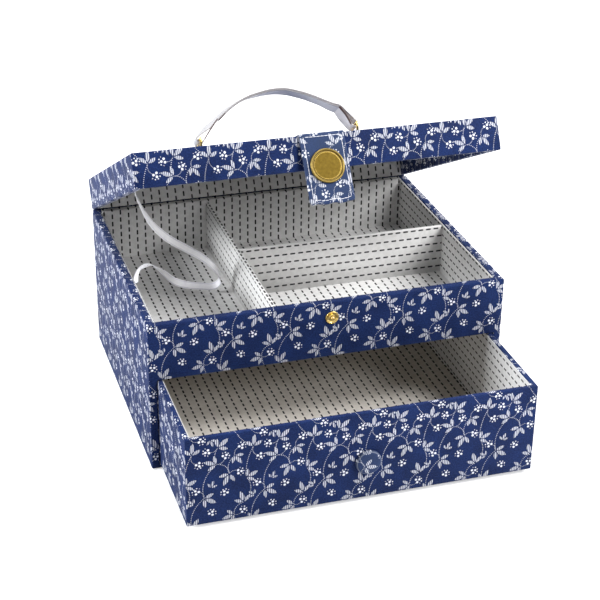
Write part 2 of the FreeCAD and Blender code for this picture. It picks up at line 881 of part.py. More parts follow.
# Drawer, shut flush with the case front and then moved out with its frame
drawer_x = (-half + rim + drawer_side_gap, half - rim - drawer_side_gap)
drawer_y = (-deep, deep - board_face - drawer_back_gap)
drawer_z = (bay_floor + drawer_lift, rail_low - drawer_top_gap)
drawer_base_low = drawer_z[0] + cover
drawer_floor = drawer_base_low + drawer_base_board
drawer_rim = cover + drawer_board + cover
knob_place = (knob_x, -deep, knob_height)
keep(
    block(
        "DrawerBase",
        (drawer_x[0] + cover, drawer_x[1] - cover),
        (drawer_y[0] + cover, drawer_y[1] - cover),
        (drawer_base_low, drawer_floor),
        drawer_frame,
    ),
    "drawer_base_board",
)
drawer_between, drawer_front_y = wall_set(
    "DrawerBoard",
    (drawer_x[0] + cover, drawer_x[1] - cover),
    (drawer_y[0] + cover, drawer_y[1] - cover),
    (drawer_floor, drawer_z[1] - cover),
    drawer_board,
    drawer_frame,
    "drawer_{}_board",
)
drawer_front_raw = block(
    "DrawerFrontRaw", drawer_between, drawer_front_y, (drawer_floor, drawer_z[1] - cover)
)
knob_hole_radius = knob_shank_radius + shank_clearance
knob_hole = rod("KnobHole", knob_hole_radius, drawer_rim + 1, knob_place, about(XAXIS, -90))
knob_recess = rod(
    "KnobRecess",
    washer_radius + shank_clearance,
    washer_thickness + shank_clearance,
    (knob_x, -deep + cover + drawer_board, knob_height),
    about(XAXIS, 90),
)
keep(
    cut("DrawerFront", drawer_front_raw, [knob_hole, knob_recess], drawer_frame),
    "drawer_front_board",
)
drawer_shell, drawer_legs = folded_cover(
    "DrawerCover",
    drawer_x,
    drawer_y,
    drawer_z,
    drawer_board,
    drawer_floor,
    "below",
)
front_knob_hole = rod("FrontKnobHole", knob_hole_radius, 3 * cover)
place(front_knob_hole, None, (knob_x, -deep - cover, knob_height), about(XAXIS, -90))
drawer_skin = cut("DrawerSkin", drawer_shell, [front_knob_hole])
keep(fused("DrawerCoverWhole", [drawer_skin, drawer_legs], drawer_frame), "drawer_cover")
drawer_lining_x = (drawer_x[0] + drawer_rim, drawer_x[1] - drawer_rim)
drawer_lining_y = (drawer_y[0] + drawer_rim, drawer_y[1] - drawer_rim)
drawer_lining_z = (drawer_floor, drawer_z[1] - lining_drop)
drawer_lining_between, drawer_front_lining_y = wall_set(
    "DrawerLining",
    drawer_lining_x,
    drawer_lining_y,
    drawer_lining_z,
    drawer_lining,
    drawer_frame,
    "drawer_{}_lining",
)
keep(
    block(
        "DrawerLining_front",
        drawer_lining_between,
        drawer_front_lining_y,
        drawer_lining_z,
        drawer_frame,
    ),
    "drawer_front_lining",
)
keep(
    block(
        "DrawerFloorLining",
        drawer_lining_between,
        (drawer_lining_y[0] + drawer_lining, drawer_lining_y[1] - drawer_lining),
        (drawer_floor, drawer_floor + floor_lining),
        drawer_frame,
    ),
    "drawer_floor_lining",
)

# Knob: a domed button covered in the same cloth, its shank riveted over a washer
dome_centre = knob_rise - knob_ball_radius
knob_shank_length = cover + drawer_board


def dome(name, radius):
    whole = ball(name + "Ball", radius, (0, 0, dome_centre))
    below = rod(name + "Below", 2 * radius, 2 * radius, (0, 0, -2 * radius))
    return cut(name, whole, [below])


knob_dome = dome("KnobDome", knob_ball_radius)
knob_shank = rod("KnobShank", knob_shank_radius, knob_shank_length + 1, (0, 0, -knob_shank_length))
keep(fused("KnobCore", [knob_dome, knob_shank], knob_frame), "knob_core")
keep(
    cut(
        "KnobCover",
        dome("KnobOuter", knob_ball_radius + knob_cloth),
        [dome("KnobInner", knob_ball_radius)],
        knob_frame,
    ),
    "knob_cover",
)
keep(
    turned(
        "KnobWasher",
        [
            (knob_shank_radius + shank_clearance / 2, 0),
            (washer_radius, 0),
            (washer_radius, washer_thickness),
            (knob_shank_radius + shank_clearance / 2, washer_thickness),
        ],
        knob_frame,
        (0, 0, -knob_shank_length),
    ),
    "knob_washer",
)

# Lid stay ribbon: from the lid's left wall down into the tray and up over the left lining's top edge.
# The route is measured from that edge, halfway along the case.
ribbon_route = [
    (0.0, -44.1, 82.8),
    (0.1, -45.0, 77.2),
    (3.1, -40.5, 67.7),
    (10.1, -33.0, 51.2),
    (19.1, -24.5, 36.7),
    (30.1, -16.5, 23.7),
    (43.1, -8.0, 11.7),
    (56.6, 0.0, -0.3),
    (67.6, 6.5, -12.3),
    (73.9, 10.6, -23.2),
    (76.3, 13.6, -32.2),
    (70.3, 15.0, -36.4),
    (60.6, 14.0, -33.6),
    (49.6, 12.5, -30.8),
    (37.6, 9.5, -24.3),
    (27.1, 3.0, -9.8),
    (16.6, -8.0, 2.2),
    (7.1, -19.5, 5.2),
    (1.5, -29.0, 4.4),
    (1.1, -33.2, 0.0),
]


def cord_tube(route, radius):
    points = [FreeCAD.Vector(*point) for point in route]
    edges = []
    radii = []
    start = points[0]
    for before, corner, after in zip(points, points[1:], points[2:]):
        back = before - corner
        ahead = after - corner
        half_turn = (pi - back.getAngle(ahead)) / 2
        shorter = min(back.Length, ahead.Length)
        bend = 0.45 * shorter / tan(half_turn)
        radii.append(round(bend, 1))
        back.normalize()
        ahead.normalize()
        arc_start = corner + back * 0.45 * shorter
        arc_end = corner + ahead * 0.45 * shorter
        middle = back + ahead
        middle.normalize()
        arc_middle = corner + middle * (bend / cos(half_turn) - bend)
        edges.append(Part.LineSegment(start, arc_start).toShape())
        edges.append(Part.Arc(arc_start, arc_middle, arc_end).toShape())
        start = arc_end
    edges.append(Part.LineSegment(start, points[-1]).toShape())
    path = Part.Wire(edges)
    section = Part.Wire(Part.makeCircle(radius, points[0], points[1] - points[0]))
    tube = path.makePipeShell([section], True, True)
    print("ribbon: length", round(path.Length, 1), "radii", radii)
    print("ribbon: volume ratio", round(tube.Volume / (pi * radius ** 2 * path.Length), 4))
    return tube


ribbon = doc.addObject("Part::Feature", "LidRibbon")
ribbon.Shape = cord_tube(ribbon_route, float(ribbon_tube_radius))
keep(place(ribbon, None, (-inside_x, 0, lining_top)), "lid_ribbon")

doc.recompute()
failed = [thing.Name for thing in doc.Objects if {"Invalid", "Error"} & set(thing.State)]
if failed:
    raise SystemExit(f"these objects failed: {failed}")
for thing in subparts:
    if thing.Shape.isNull() or not thing.Shape.isValid():
        raise SystemExit(f"{thing.Label} has no valid shape")

os.makedirs("parts", exist_ok=True)
for thing in subparts:
    thing.Shape.exportStep(f"parts/{thing.Label}.step")
print(len(subparts), "nodes,", sum(len(thing.Shape.Solids) for thing in subparts), "solids")
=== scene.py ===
import bmesh
import bpy
import json
from math import atan2, cos, degrees, hypot, pi, radians, sin
from mathutils import Matrix, Vector


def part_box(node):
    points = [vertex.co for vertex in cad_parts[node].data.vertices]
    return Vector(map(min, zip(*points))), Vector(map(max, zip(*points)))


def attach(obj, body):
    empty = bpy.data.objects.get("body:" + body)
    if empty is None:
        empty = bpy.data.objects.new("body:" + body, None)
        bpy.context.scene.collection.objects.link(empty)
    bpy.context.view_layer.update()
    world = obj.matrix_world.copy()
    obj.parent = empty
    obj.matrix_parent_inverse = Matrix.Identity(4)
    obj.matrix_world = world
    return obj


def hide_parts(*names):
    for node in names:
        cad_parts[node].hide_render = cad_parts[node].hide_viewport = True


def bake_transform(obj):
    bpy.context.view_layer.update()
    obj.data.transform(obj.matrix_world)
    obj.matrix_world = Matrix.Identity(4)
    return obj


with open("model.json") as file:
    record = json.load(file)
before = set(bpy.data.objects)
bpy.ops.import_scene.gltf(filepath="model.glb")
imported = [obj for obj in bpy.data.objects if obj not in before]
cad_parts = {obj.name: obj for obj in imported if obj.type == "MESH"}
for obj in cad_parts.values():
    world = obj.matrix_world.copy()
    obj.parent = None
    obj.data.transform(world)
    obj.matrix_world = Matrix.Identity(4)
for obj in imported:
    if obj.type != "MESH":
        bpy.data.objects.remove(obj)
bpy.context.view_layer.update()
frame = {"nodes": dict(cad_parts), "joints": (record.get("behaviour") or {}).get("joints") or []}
nodes = frame["nodes"]
joints = {joint["name"]: joint for joint in frame["joints"]}
mm = 0.001

# Places that the frame gives: the hinge line, how far the lid stands open, and where the tab and the handle turn
hingePoint = Vector(joints["lid_hinge"]["pos_m"])
lidAngle = -radians(joints["lid_hinge"]["range_deg"][0])
lidTurn = Matrix.Translation(hingePoint) @ Matrix.Rotation(-lidAngle, 4, "X") @ Matrix.Translation(-hingePoint)
tabPoint = Vector(joints["tab_hinge"]["pos_m"])
ringPoint = Vector(joints["handle_swing"]["pos_m"])


def shutBox(name):
    # A lid node's corners with the lid turned back to where it shuts
    points = [lidTurn.inverted() @ vertex.co for vertex in nodes[name].data.vertices]
    low = Vector([min(point[axis] for point in points) for axis in range(3)])
    high = Vector([max(point[axis] for point in points) for axis in range(3)])
    return low, high


# Camera, where the photograph was taken from
cameraView = {
    "place": (-0.318480, -1.034343, 0.625561),
    "right": (0.95499, -0.29641, 0.01131),
    "down": (-0.12607, -0.44012, -0.88904),
    "forward": (0.2685, 0.8476, -0.45768),
    "lens": 92.588,
    "sensor": 36,
}


def addCamera():
    camera = bpy.data.cameras.new("camera")
    camera.lens = cameraView["lens"]
    camera.sensor_width = cameraView["sensor"]
    camera.sensor_fit = "HORIZONTAL"
    cameraObject = bpy.data.objects.new("camera", camera)
    bpy.context.scene.collection.objects.link(cameraObject)
    right = Vector(cameraView["right"])
    forward = (Vector(cameraView["forward"]) - right * right.dot(Vector(cameraView["forward"]))).normalized()
    up = right.cross(forward)
    turn = Matrix((right, up, -forward)).transposed().to_4x4()
    cameraObject.matrix_world = Matrix.Translation(cameraView["place"]) @ turn
    bpy.context.scene.camera = cameraObject


addCamera()
print("camera in place")


# Node helpers
def feed(tree, socket, value):
    if isinstance(value, bpy.types.NodeSocket):
        tree.links.new(value, socket)
    else:
        socket.default_value = value


def maths(tree, operation, *values):
    node = tree.nodes.new("ShaderNodeMath")
    node.operation = operation
    for socket, value in zip(node.inputs, values):
        feed(tree, socket, value)
    return node.outputs[0]


def vectors(tree, operation, *values):
    node = tree.nodes.new("ShaderNodeVectorMath")
    node.operation = operation
    for socket, value in zip(node.inputs, values):
        feed(tree, socket, value)
    return node.outputs["Value" if operation in ("LENGTH", "DISTANCE", "DOT_PRODUCT") else "Vector"]


def parts(tree, vector):
    node = tree.nodes.new("ShaderNodeSeparateXYZ")
    feed(tree, node.inputs[0], vector)
    return node.outputs


def together(tree, x, y, z=0.0):
    node = tree.nodes.new("ShaderNodeCombineXYZ")
    for socket, value in zip(node.inputs, (x, y, z)):
        feed(tree, socket, value)
    return node.outputs[0]


def mapped(tree, vector, place=(0, 0, 0), turn=(0, 0, 0), scale=(1, 1, 1)):
    node = tree.nodes.new("ShaderNodeMapping")
    feed(tree, node.inputs["Vector"], vector)
    node.inputs["Location"].default_value = place
    node.inputs["Rotation"].default_value = turn
    node.inputs["Scale"].default_value = scale
    return node.outputs[0]


def noise(tree, vector, scale, detail=2.0, rough=0.5):
    node = tree.nodes.new("ShaderNodeTexNoise")
    feed(tree, node.inputs["Vector"], vector)
    node.inputs["Scale"].default_value = scale
    node.inputs["Detail"].default_value = detail
    node.inputs["Roughness"].default_value = rough
    return node.outputs["Fac"]


def spread(tree, value, fromLow, fromHigh, toLow=0.0, toHigh=1.0):
    node = tree.nodes.new("ShaderNodeMapRange")
    for socket, number in zip(node.inputs, (value, fromLow, fromHigh, toLow, toHigh)):
        feed(tree, socket, number)
    return node.outputs[0]


def blendColours(tree, share, first, second, how="MIX"):
    node = tree.nodes.new("ShaderNodeMix")
    node.data_type = "RGBA"
    node.blend_type = how
    feed(tree, node.inputs["Factor"], share)
    feed(tree, node.inputs[6], first)
    feed(tree, node.inputs[7], second)
    return node.outputs[2]


def startMaterial(name):
    material = bpy.data.materials.new(name)
    material.use_nodes = True
    tree = material.node_tree
    shader = tree.nodes["Principled BSDF"]
    return material, tree, shader


def bumped(tree, shader, height, strength, distance):
    node = tree.nodes.new("ShaderNodeBump")
    node.inputs["Strength"].default_value = strength
    node.inputs["Distance"].default_value = distance
    feed(tree, node.inputs["Height"], height)
    tree.links.new(node.outputs[0], shader.inputs["Normal"])


# The sprig print: hatched leaves in threes, berries on stems and dotted vines, in millimetres
sprigPrint = {
    "tile": (43.0, 74.0),
    "edge": 0.3,                      # softness of a printed edge
    "leafWhite": 0.78,
    "lineWhite": 0.8,
    "leafStart": 0.9,
    "leafLength": 8.2,
    "leafWidth": 1.54,
    "sideLeafLength": 6.2,
    "sideLeafWidth": 1.26,
    "sideLeafAngle": 54,
    "hatchPitch": 1.3,
    "hatchGap": 0.55,
    "berryRing": 1.5,
    "berryRadius": 0.88,
    "dotRing": 3.15,
    "dotRadius": 0.45,
    "dotAngle": 40,
    "vineDot": 0.27,
    "vinePitch": 1.4,
    "stemDot": 0.21,
    "stemPitch": 1.05,
    # each sprig of three leaves: where its foot is, where it points and its size
    "sprigs": [
        (4, 1, 60, 1.0), (34, 8, 195, 0.95), (13, 25, 330, 1.05), (41, 17, 105, 1.0), (0, 37, 25, 0.95),
        (31, 42, 245, 1.05), (22, 51, 160, 1.0), (35, 56, 305, 0.9), (5, 61, 85, 1.0), (23, 64, 40, 1.05),
        (18, 33, 70, 0.62), (18, 71, 290, 0.62), (6, 22, 150, 0.58),
    ],
    # stems from a sprig's foot to a bunch of berries, and how far each bows to its left
    "stems": [
        ((34, 8), (40, 10.5), -0.5), ((13, 25), (8, 31), -0.5), ((31, 42), (38, 42.5), 0.5),
        ((22, 51), (28, 56.5), -0.5), ((5, 61), (9.5, 53), -0.5), ((35, 56), (39.5, 62.5), 0.5),
        ((4, 1), (11.5, -2.5), -0.5), ((23, 64), (16, 62), 0.5),
    ],
    # loose berries: where they are and which way they open
    "berries": [(18, 12, 60), (28, 27, 120)],
    # dotted vines between the sprigs' feet
    "vines": [
        ((4, 1), (13, 25), 0.3), ((13, 25), (22, 51), 0.3), ((22, 51), (23, 64), 0.25),
        ((48, 61), (34, 82), 0.25), ((41, 17), (34, 8), -0.4), ((41, 17), (43, 37), -0.4),
        ((31, 42), (35, 56), 0.35), ((0, 37), (5, 61), 0.15), ((22, 51), (31, 42), 0.4),
    ],
}


def printSpot(tree, place, x, y, turn):
    # The coordinate seen from one motif, taken to its nearest copy
    width, height = sprigPrint["tile"]
    away = vectors(tree, "SUBTRACT", place, (x, y, 0))
    near = vectors(tree, "WRAP", away, (width / 2, height / 2, 1), (-width / 2, -height / 2, -1))
    return mapped(tree, near, turn=(0, 0, -radians(turn)))


def leafShape(tree, along, across, start, length, width):
    middle = start + length / 2
    share = maths(tree, "MULTIPLY_ADD", along, 2 / length, -2 * middle / length)
    belly = maths(tree, "MULTIPLY_ADD", maths(tree, "MULTIPLY", share, share), -width, width)
    return maths(tree, "SUBTRACT", belly, maths(tree, "ABSOLUTE", across))


def leafThree(tree, spot, size):
    along, across, _ = parts(tree, spot)
    start = sprigPrint["leafStart"] * size
    length = sprigPrint["leafLength"] * size
    middle = leafShape(tree, along, across, 1.3 * start, length, sprigPrint["leafWidth"] * size)
    angle = radians(sprigPrint["sideLeafAngle"])
    side = maths(tree, "ABSOLUTE", across)
    sideAlong = maths(tree, "MULTIPLY_ADD", side, sin(angle), maths(tree, "MULTIPLY", along, cos(angle)))
    sideAcross = maths(tree, "MULTIPLY_ADD", side, cos(angle), maths(tree, "MULTIPLY", along, -sin(angle)))
    length = sprigPrint["sideLeafLength"] * size
    flank = leafShape(tree, sideAlong, sideAcross, start, length, sprigPrint["sideLeafWidth"] * size)
    return maths(tree, "MAXIMUM", middle, flank)


def dotsOnRing(tree, reach, angle, ring, spacing, radius):
    # Positive inside dots that stand at a ring's radius, spacing degrees apart
    turn = maths(tree, "WRAP", angle, radians(spacing / 2), -radians(spacing / 2))
    near = maths(tree, "MULTIPLY", maths(tree, "COSINE", turn), reach)
    squared = maths(tree, "MULTIPLY_ADD", reach, reach, ring * ring - radius * radius)
    apart = maths(tree, "MULTIPLY_ADD", near, -2 * ring, squared)
    return maths(tree, "MULTIPLY", apart, -0.5 / radius)


def berryBunch(tree, place, x, y, turn):
    spot = printSpot(tree, place, x, y, turn)
    along, across, _ = parts(tree, spot)
    reach = vectors(tree, "LENGTH", spot)
    angle = maths(tree, "ARCTAN2", across, along)
    big = dotsOnRing(tree, reach, angle, sprigPrint["berryRing"], 120, sprigPrint["berryRadius"])
    small = dotsOnRing(tree, reach, angle, sprigPrint["dotRing"], sprigPrint["dotAngle"], sprigPrint["dotRadius"])
    small = maths(tree, "MINIMUM", small, maths(tree, "ADD", along, -0.6))
    return maths(tree, "MAXIMUM", big, small)


def printArc(tree, place, start, end, bulge, radiusOfDot, pitch):
    # A row of dots along the arc from start to end
    chord = hypot(end[0] - start[0], end[1] - start[1])
    rise = abs(bulge) * chord / 2
    radius = (chord * chord / 4 + rise * rise) / (2 * rise)
    left = 1 if bulge > 0 else -1
    normal = (-(end[1] - start[1]) / chord * left, (end[0] - start[0]) / chord * left)
    middle = ((start[0] + end[0]) / 2, (start[1] + end[1]) / 2)
    turn = degrees(atan2(normal[1], normal[0]))
    spot = vectors(tree, "ADD", printSpot(tree, place, middle[0], middle[1], turn), (radius - rise, 0, 0))
    along, across, _ = parts(tree, spot)
    angle = maths(tree, "ARCTAN2", across, along)
    beside = maths(tree, "SUBTRACT", vectors(tree, "LENGTH", spot), radius)
    halfTurn = 2 * atan2(rise, chord / 2)
    within = maths(tree, "MULTIPLY_ADD", maths(tree, "ABSOLUTE", angle), -radius, (halfTurn - 0.02) * radius)
    beat = maths(tree, "PINGPONG", maths(tree, "MULTIPLY", angle, radius), pitch / 2)
    line = maths(tree, "SUBTRACT", radiusOfDot, vectors(tree, "LENGTH", together(tree, beat, beside)))
    return maths(tree, "MINIMUM", line, within)


def highest(tree, values):
    best = values[0]
    for value in values[1:]:
        best = maths(tree, "MAXIMUM", best, value)
    return best


def makeSprigGroup():
    tree = bpy.data.node_groups.new("sprigPrint", "ShaderNodeTree")
    tree.interface.new_socket("Place", in_out="INPUT", socket_type="NodeSocketVector")
    tree.interface.new_socket("White", in_out="OUTPUT", socket_type="NodeSocketFloat")
    given = tree.nodes.new("NodeGroupInput").outputs[0]
    place = vectors(tree, "MULTIPLY", given, (1, 1, 0))
    leaves = [
        leafThree(tree, printSpot(tree, place, x, y, turn), size)
        for x, y, turn, size in sprigPrint["sprigs"]
    ]
    berries = [berryBunch(tree, place, *bunch) for bunch in sprigPrint["berries"]]
    lines = [
        printArc(tree, place, *vine, sprigPrint["vineDot"], sprigPrint["vinePitch"])
        for vine in sprigPrint["vines"]
    ]
    for start, end, bulge in sprigPrint["stems"]:
        lines.append(printArc(tree, place, start, end, bulge, sprigPrint["stemDot"], sprigPrint["stemPitch"]))
        berries.append(berryBunch(tree, place, *end, degrees(atan2(end[1] - start[1], end[0] - start[0]))))
    hatch = maths(tree, "PINGPONG", parts(tree, place)[0], sprigPrint["hatchPitch"] / 2)
    hatch = maths(tree, "SUBTRACT", hatch, sprigPrint["hatchGap"] / 2)
    leaf = maths(tree, "MINIMUM", highest(tree, leaves), hatch)
    soft = sprigPrint["edge"] / 2
    white = spread(tree, highest(tree, berries), -soft, soft)
    white = maths(tree, "MAXIMUM", white, spread(tree, leaf, -soft, soft, 0, sprigPrint["leafWhite"]))
    line = spread(tree, highest(tree, lines), -soft, soft, 0, sprigPrint["lineWhite"])
    tree.links.new(maths(tree, "MAXIMUM", white, line), tree.nodes.new("NodeGroupOutput").inputs[0])
    return tree


sprigGroup = makeSprigGroup()
print("sprig print drawn,", len(sprigGroup.nodes), "nodes")

clothLook = {
    "navy": (0.0115, 0.0305, 0.128, 1),
    "deepNavy": (0.0024, 0.0085, 0.045, 1),
    # a lighter navy: painted light on the tab's and the knob's cloth
    "litNavy": (0.050, 0.077, 0.148, 1),
    "white": (0.84, 0.86, 0.93, 1),
    "sheen": (0.75, 0.80, 1.0, 1),
    "weave": 0.42,                    # thread pitch in millimetres
    "fold": (0.20, 0.23, 0.30, 1),    # a pale ring where the knob's cloth turns round its edge: painted highlight
}


def printedCloth(name, rubbedAndLit=0.0, ringAt=None):
    # the lightening share: how far the navy ground turns to a lighter navy, which is painted light
    # ringAt: the middle and the radius of a pale ring, a painted highlight on the knob's rounded edge, in the
    # cloth's own coordinates
    material, tree, shader = startMaterial(name)
    uv = tree.nodes.new("ShaderNodeUVMap")
    uv.uv_map = "cloth"
    place = uv.outputs[0]
    group = tree.nodes.new("ShaderNodeGroup")
    group.node_tree = sprigGroup
    ragged = noise(tree, place, 1.1, 2.0)
    shake = vectors(tree, "ADD", place, together(tree, maths(tree, "MULTIPLY", ragged, 0.25), ragged))
    feed(tree, group.inputs[0], shake)
    patchy = noise(tree, place, 0.045, 3.0)
    slubs = noise(tree, place, 0.9, 3.0, 0.65)
    depth = maths(tree, "ADD", spread(tree, patchy, 0.35, 0.65, 0, 0.4), spread(tree, slubs, 0.38, 0.62, 0, 0.6))
    ground = blendColours(tree, depth, clothLook["deepNavy"], clothLook["navy"])
    # painted light: the ground is mixed toward a lighter navy
    if rubbedAndLit:
        ground = blendColours(tree, rubbedAndLit, ground, clothLook["litNavy"])
    colour = blendColours(tree, group.outputs[0], ground, clothLook["white"])
    # painted highlight: a pale ring on the knob's rounded edge
    if ringAt:
        middle, radius = ringAt
        reach = vectors(tree, "LENGTH", vectors(tree, "SUBTRACT", place, (middle[0], middle[1], 0)))
        fromRing = maths(tree, "ABSOLUTE", maths(tree, "SUBTRACT", reach, radius))
        colour = blendColours(tree, spread(tree, fromRing, 0.1, 0.55, 0.75, 0), colour, clothLook["fold"])
    x, y, _ = parts(tree, place)
    pace = 2 * pi / clothLook["weave"]
    warp = maths(tree, "SINE", maths(tree, "MULTIPLY", x, pace))
    weft = maths(tree, "SINE", maths(tree, "MULTIPLY", y, pace))
    weave = maths(tree, "MULTIPLY", warp, weft)
    # painted shade in the weave's dips and painted highlight on its crossings, following the bump
    weaveShading = spread(tree, weave, -1, 1, 0.93, 1.05)
    tint = together(tree, weaveShading, weaveShading, weaveShading)
    tree.links.new(blendColours(tree, 1.0, colour, tint, "MULTIPLY"), shader.inputs["Base Color"])
    tree.links.new(spread(tree, patchy, 0.3, 0.7, 0.58, 0.72), shader.inputs["Roughness"])
    shader.inputs["Specular IOR Level"].default_value = 0.1
    shader.inputs["Sheen Weight"].default_value = 0.08
    shader.inputs["Sheen Roughness"].default_value = 0.45
    shader.inputs["Sheen Tint"].default_value = clothLook["sheen"]
    bumped(tree, shader, weave, 0.35, 0.00006)
    return material


cloth = printedCloth("printed_cloth")
# The tab and the knob take lit copies of the cloth: their ground is lightened as painted light
paddedCloth = printedCloth("padded_cloth", rubbedAndLit=0.5)
knobCloth = printedCloth("knob_cloth", rubbedAndLit=0.42, ringAt=((17, 25), 8.95))

# The lining: grey paper printed with rows of running stitches, in millimetres
liningLook = {
    "paper": (0.78, 0.775, 0.77, 1),
    "shade": (0.70, 0.695, 0.685, 1),
    "stitch": (0.013, 0.012, 0.015, 1),
    "cutEdge": (0.90, 0.90, 0.89, 1),
    "rowPitch": 6.67,
    "stitchPitch": 6.45,
    "stitchLength": 4.3,
    "stitchWidth": 1.35,
}


def stitchRows(tree, along, across):
    # Rows lie at half a row's pitch, and each row is half a stitch on from the last
    rows = maths(tree, "DIVIDE", across, liningLook["rowPitch"])
    row = maths(tree, "FLOOR", rows)
    odd = maths(tree, "FLOORED_MODULO", row, 2.0)
    shifted = maths(tree, "MULTIPLY_ADD", odd, liningLook["stitchPitch"] / 2, along)
    fromMiddle = maths(tree, "WRAP", shifted, liningLook["stitchPitch"] / 2, -liningLook["stitchPitch"] / 2)
    share = maths(tree, "SUBTRACT", rows, row)
    fromRow = maths(tree, "MULTIPLY_ADD", share, liningLook["rowPitch"], -liningLook["rowPitch"] / 2)
    straight = liningLook["stitchLength"] / 2 - liningLook["stitchWidth"] / 2
    beyond = maths(tree, "MAXIMUM", maths(tree, "SUBTRACT", maths(tree, "ABSOLUTE", fromMiddle), straight), 0.0)
    reach = vectors(tree, "LENGTH", together(tree, beyond, fromRow))
    inside = maths(tree, "SUBTRACT", liningLook["stitchWidth"] / 2, reach)
    return spread(tree, inside, -0.1, 0.1)


def liningShader(tree, shader, place, along, across, edge=None, tint=(1, 1, 1)):
    paperTone, shadeTone = [
        tuple(value * share for value, share in zip(liningLook[tone], tint)) + (1,) for tone in ("paper", "shade")
    ]
    stitches = stitchRows(tree, along, across)
    fibres = noise(tree, place, 0.9, 4.0, 0.65)
    cloudy = noise(tree, place, 0.25, 3.0)
    paper = blendColours(tree, spread(tree, cloudy, 0.35, 0.65), shadeTone, paperTone)
    inked = maths(tree, "MULTIPLY", stitches, spread(tree, fibres, 0.2, 0.6, 0.93, 1.0))
    colour = blendColours(tree, inked, paper, liningLook["stitch"])
    if edge:
        colour = blendColours(tree, edge, liningLook["cutEdge"], colour)
    tree.links.new(colour, shader.inputs["Base Color"])
    shader.inputs["Roughness"].default_value = 0.75
    shader.inputs["Specular IOR Level"].default_value = 0.3
    bumped(tree, shader, fibres, 0.2, 0.00005)


def lining(name, along, across, facing, tilted=False, shift=0.0, frontRight=None, tint=(1, 1, 1)):
    # along, across and facing: the ways a stitch and the step between rows run, and the printed face looks.
    # 0, 1 and 2 are X, Y and Z
    material, tree, shader = startMaterial(name)
    coordinate = tree.nodes.new("ShaderNodeTexCoord")
    place = coordinate.outputs["Object"]
    normal = coordinate.outputs["Normal"]
    if tilted:
        back = hingePoint - Matrix.Rotation(lidAngle, 3, "X") @ hingePoint
        place = mapped(tree, place, place=back, turn=(lidAngle, 0, 0))
        normal = mapped(tree, normal, turn=(lidAngle, 0, 0))
    place = vectors(tree, "MULTIPLY", place, (1000, 1000, 1000))
    axes = parts(tree, place)
    edge = maths(tree, "GREATER_THAN", maths(tree, "ABSOLUTE", parts(tree, normal)[facing]), 0.7)
    rowAcross = maths(tree, "ADD", axes[across], shift)
    if frontRight:
        # the front right compartment has a sheet of its own, half a row off
        beyond = maths(tree, "GREATER_THAN", axes[0], frontRight[0])
        before = maths(tree, "LESS_THAN", axes[1], frontRight[1])
        own = maths(tree, "MULTIPLY", beyond, before)
        rowAcross = maths(tree, "MULTIPLY_ADD", own, liningLook["rowPitch"] / 2, rowAcross)
    liningShader(tree, shader, place, axes[along], rowAcross, edge, tint)
    return material


def foldedLining(name):
    # For sheets that turn a corner: the stitches follow the sheet's own coordinates
    material, tree, shader = startMaterial(name)
    uv = tree.nodes.new("ShaderNodeUVMap")
    uv.uv_map = "lining"
    axes = parts(tree, uv.outputs[0])
    liningShader(tree, shader, uv.outputs[0], axes[0], axes[1])
    return material


backRows = 3.4                        # the tray's back rows stand this far to the side of the front ones
sideLining = lining("lining_side", 1, 2, 0, shift=1.6)
wallLining = lining("lining_wall", 2, 0, 1)
# The drawer's floor paper is tinted warmer and darker than the other linings: painted shade, for the warm shade
# inside the drawer
drawerFloorLining = lining("lining_drawer_floor", 1, 0, 2, tint=(1.0, 0.95, 0.885))
trayFloorLining = lining("lining_tray_floor", 1, 0, 2, shift=-backRows, frontRight=(-40.5, 3))
lidTopLining = lining("lining_lid_top", 1, 0, 2, tilted=True, shift=-backRows)
paperLining = foldedLining("lining_folded")


# Plain finishes
boardLook = {"base": (0.30, 0.27, 0.22, 1), "fleck": (0.20, 0.18, 0.15, 1)}
goldLook = {
    "base": (0.32, 0.215, 0.042, 1), "worn": (0.235, 0.152, 0.025, 1), "roughness": 0.075, "uneven": 0.02,
    # rim: a darker gold over the button's groove and raised rim, painted shade that dims their highlights
    "rubbedAndLit": 0.3, "rim": (0.185, 0.133, 0.040, 1),
}
brassLook = {
    "base": (0.74, 0.55, 0.21, 1), "worn": (0.52, 0.36, 0.10, 1), "roughness": 0.10, "uneven": 0.2,
}
satinLook = {
    # a face, a darker tone mixed in at random as painted shade of folds, and a line beside each edge: woven, and on
    # the strap darkened as painted shade of the gap between plies
    "ribbon": ((0.97, 0.965, 0.99, 1), (0.89, 0.885, 0.93, 1), (0.70, 0.69, 0.76, 1)),
    # the strap's outer ply is coloured darker than the near-white satin of its inner ply: painted shade on its lit
    # faces
    "strap": ((0.54, 0.54, 0.56, 1), (0.48, 0.48, 0.50, 1), (0.28, 0.27, 0.27, 1)),
    "strapBack": ((0.97, 0.97, 0.975, 1), (0.92, 0.92, 0.945, 1), (0.40, 0.39, 0.40, 1)),
    "cutEdge": (0.36, 0.34, 0.345, 1),
    "endBrown": (0.050, 0.021, 0.019, 1),  # a dark brown band on the strap beside each ring
    # lighter tones at the strap's right end beyond the seam, on its outer leg and on the one under it: painted light
    # where these legs lie in shade
    "outerLeg": (0.97, 0.95, 0.94, 1),
    "innerLeg": (0.66, 0.64, 0.655, 1),
    "rough": {"ribbon": (0.26, 0.4), "strap": (0.26, 0.4), "strapBack": (0.7, 0.85)},
    "shine": {"ribbon": 0.5, "strap": 0.5, "strapBack": 0.1},
    "sheen": {"ribbon": 0.15, "strap": 0.15, "strapBack": 1.0},
    "selvedge": 0.8,
    "ribs": 0.32,
}
threadLook = {"base": (0.88, 0.88, 0.93, 1), "twist": (0.74, 0.75, 0.84, 1)}


def inMillimetres(tree):
    # Object coordinates in millimetres
    place = tree.nodes.new("ShaderNodeTexCoord").outputs["Object"]
    return vectors(tree, "MULTIPLY", place, (1000, 1000, 1000))


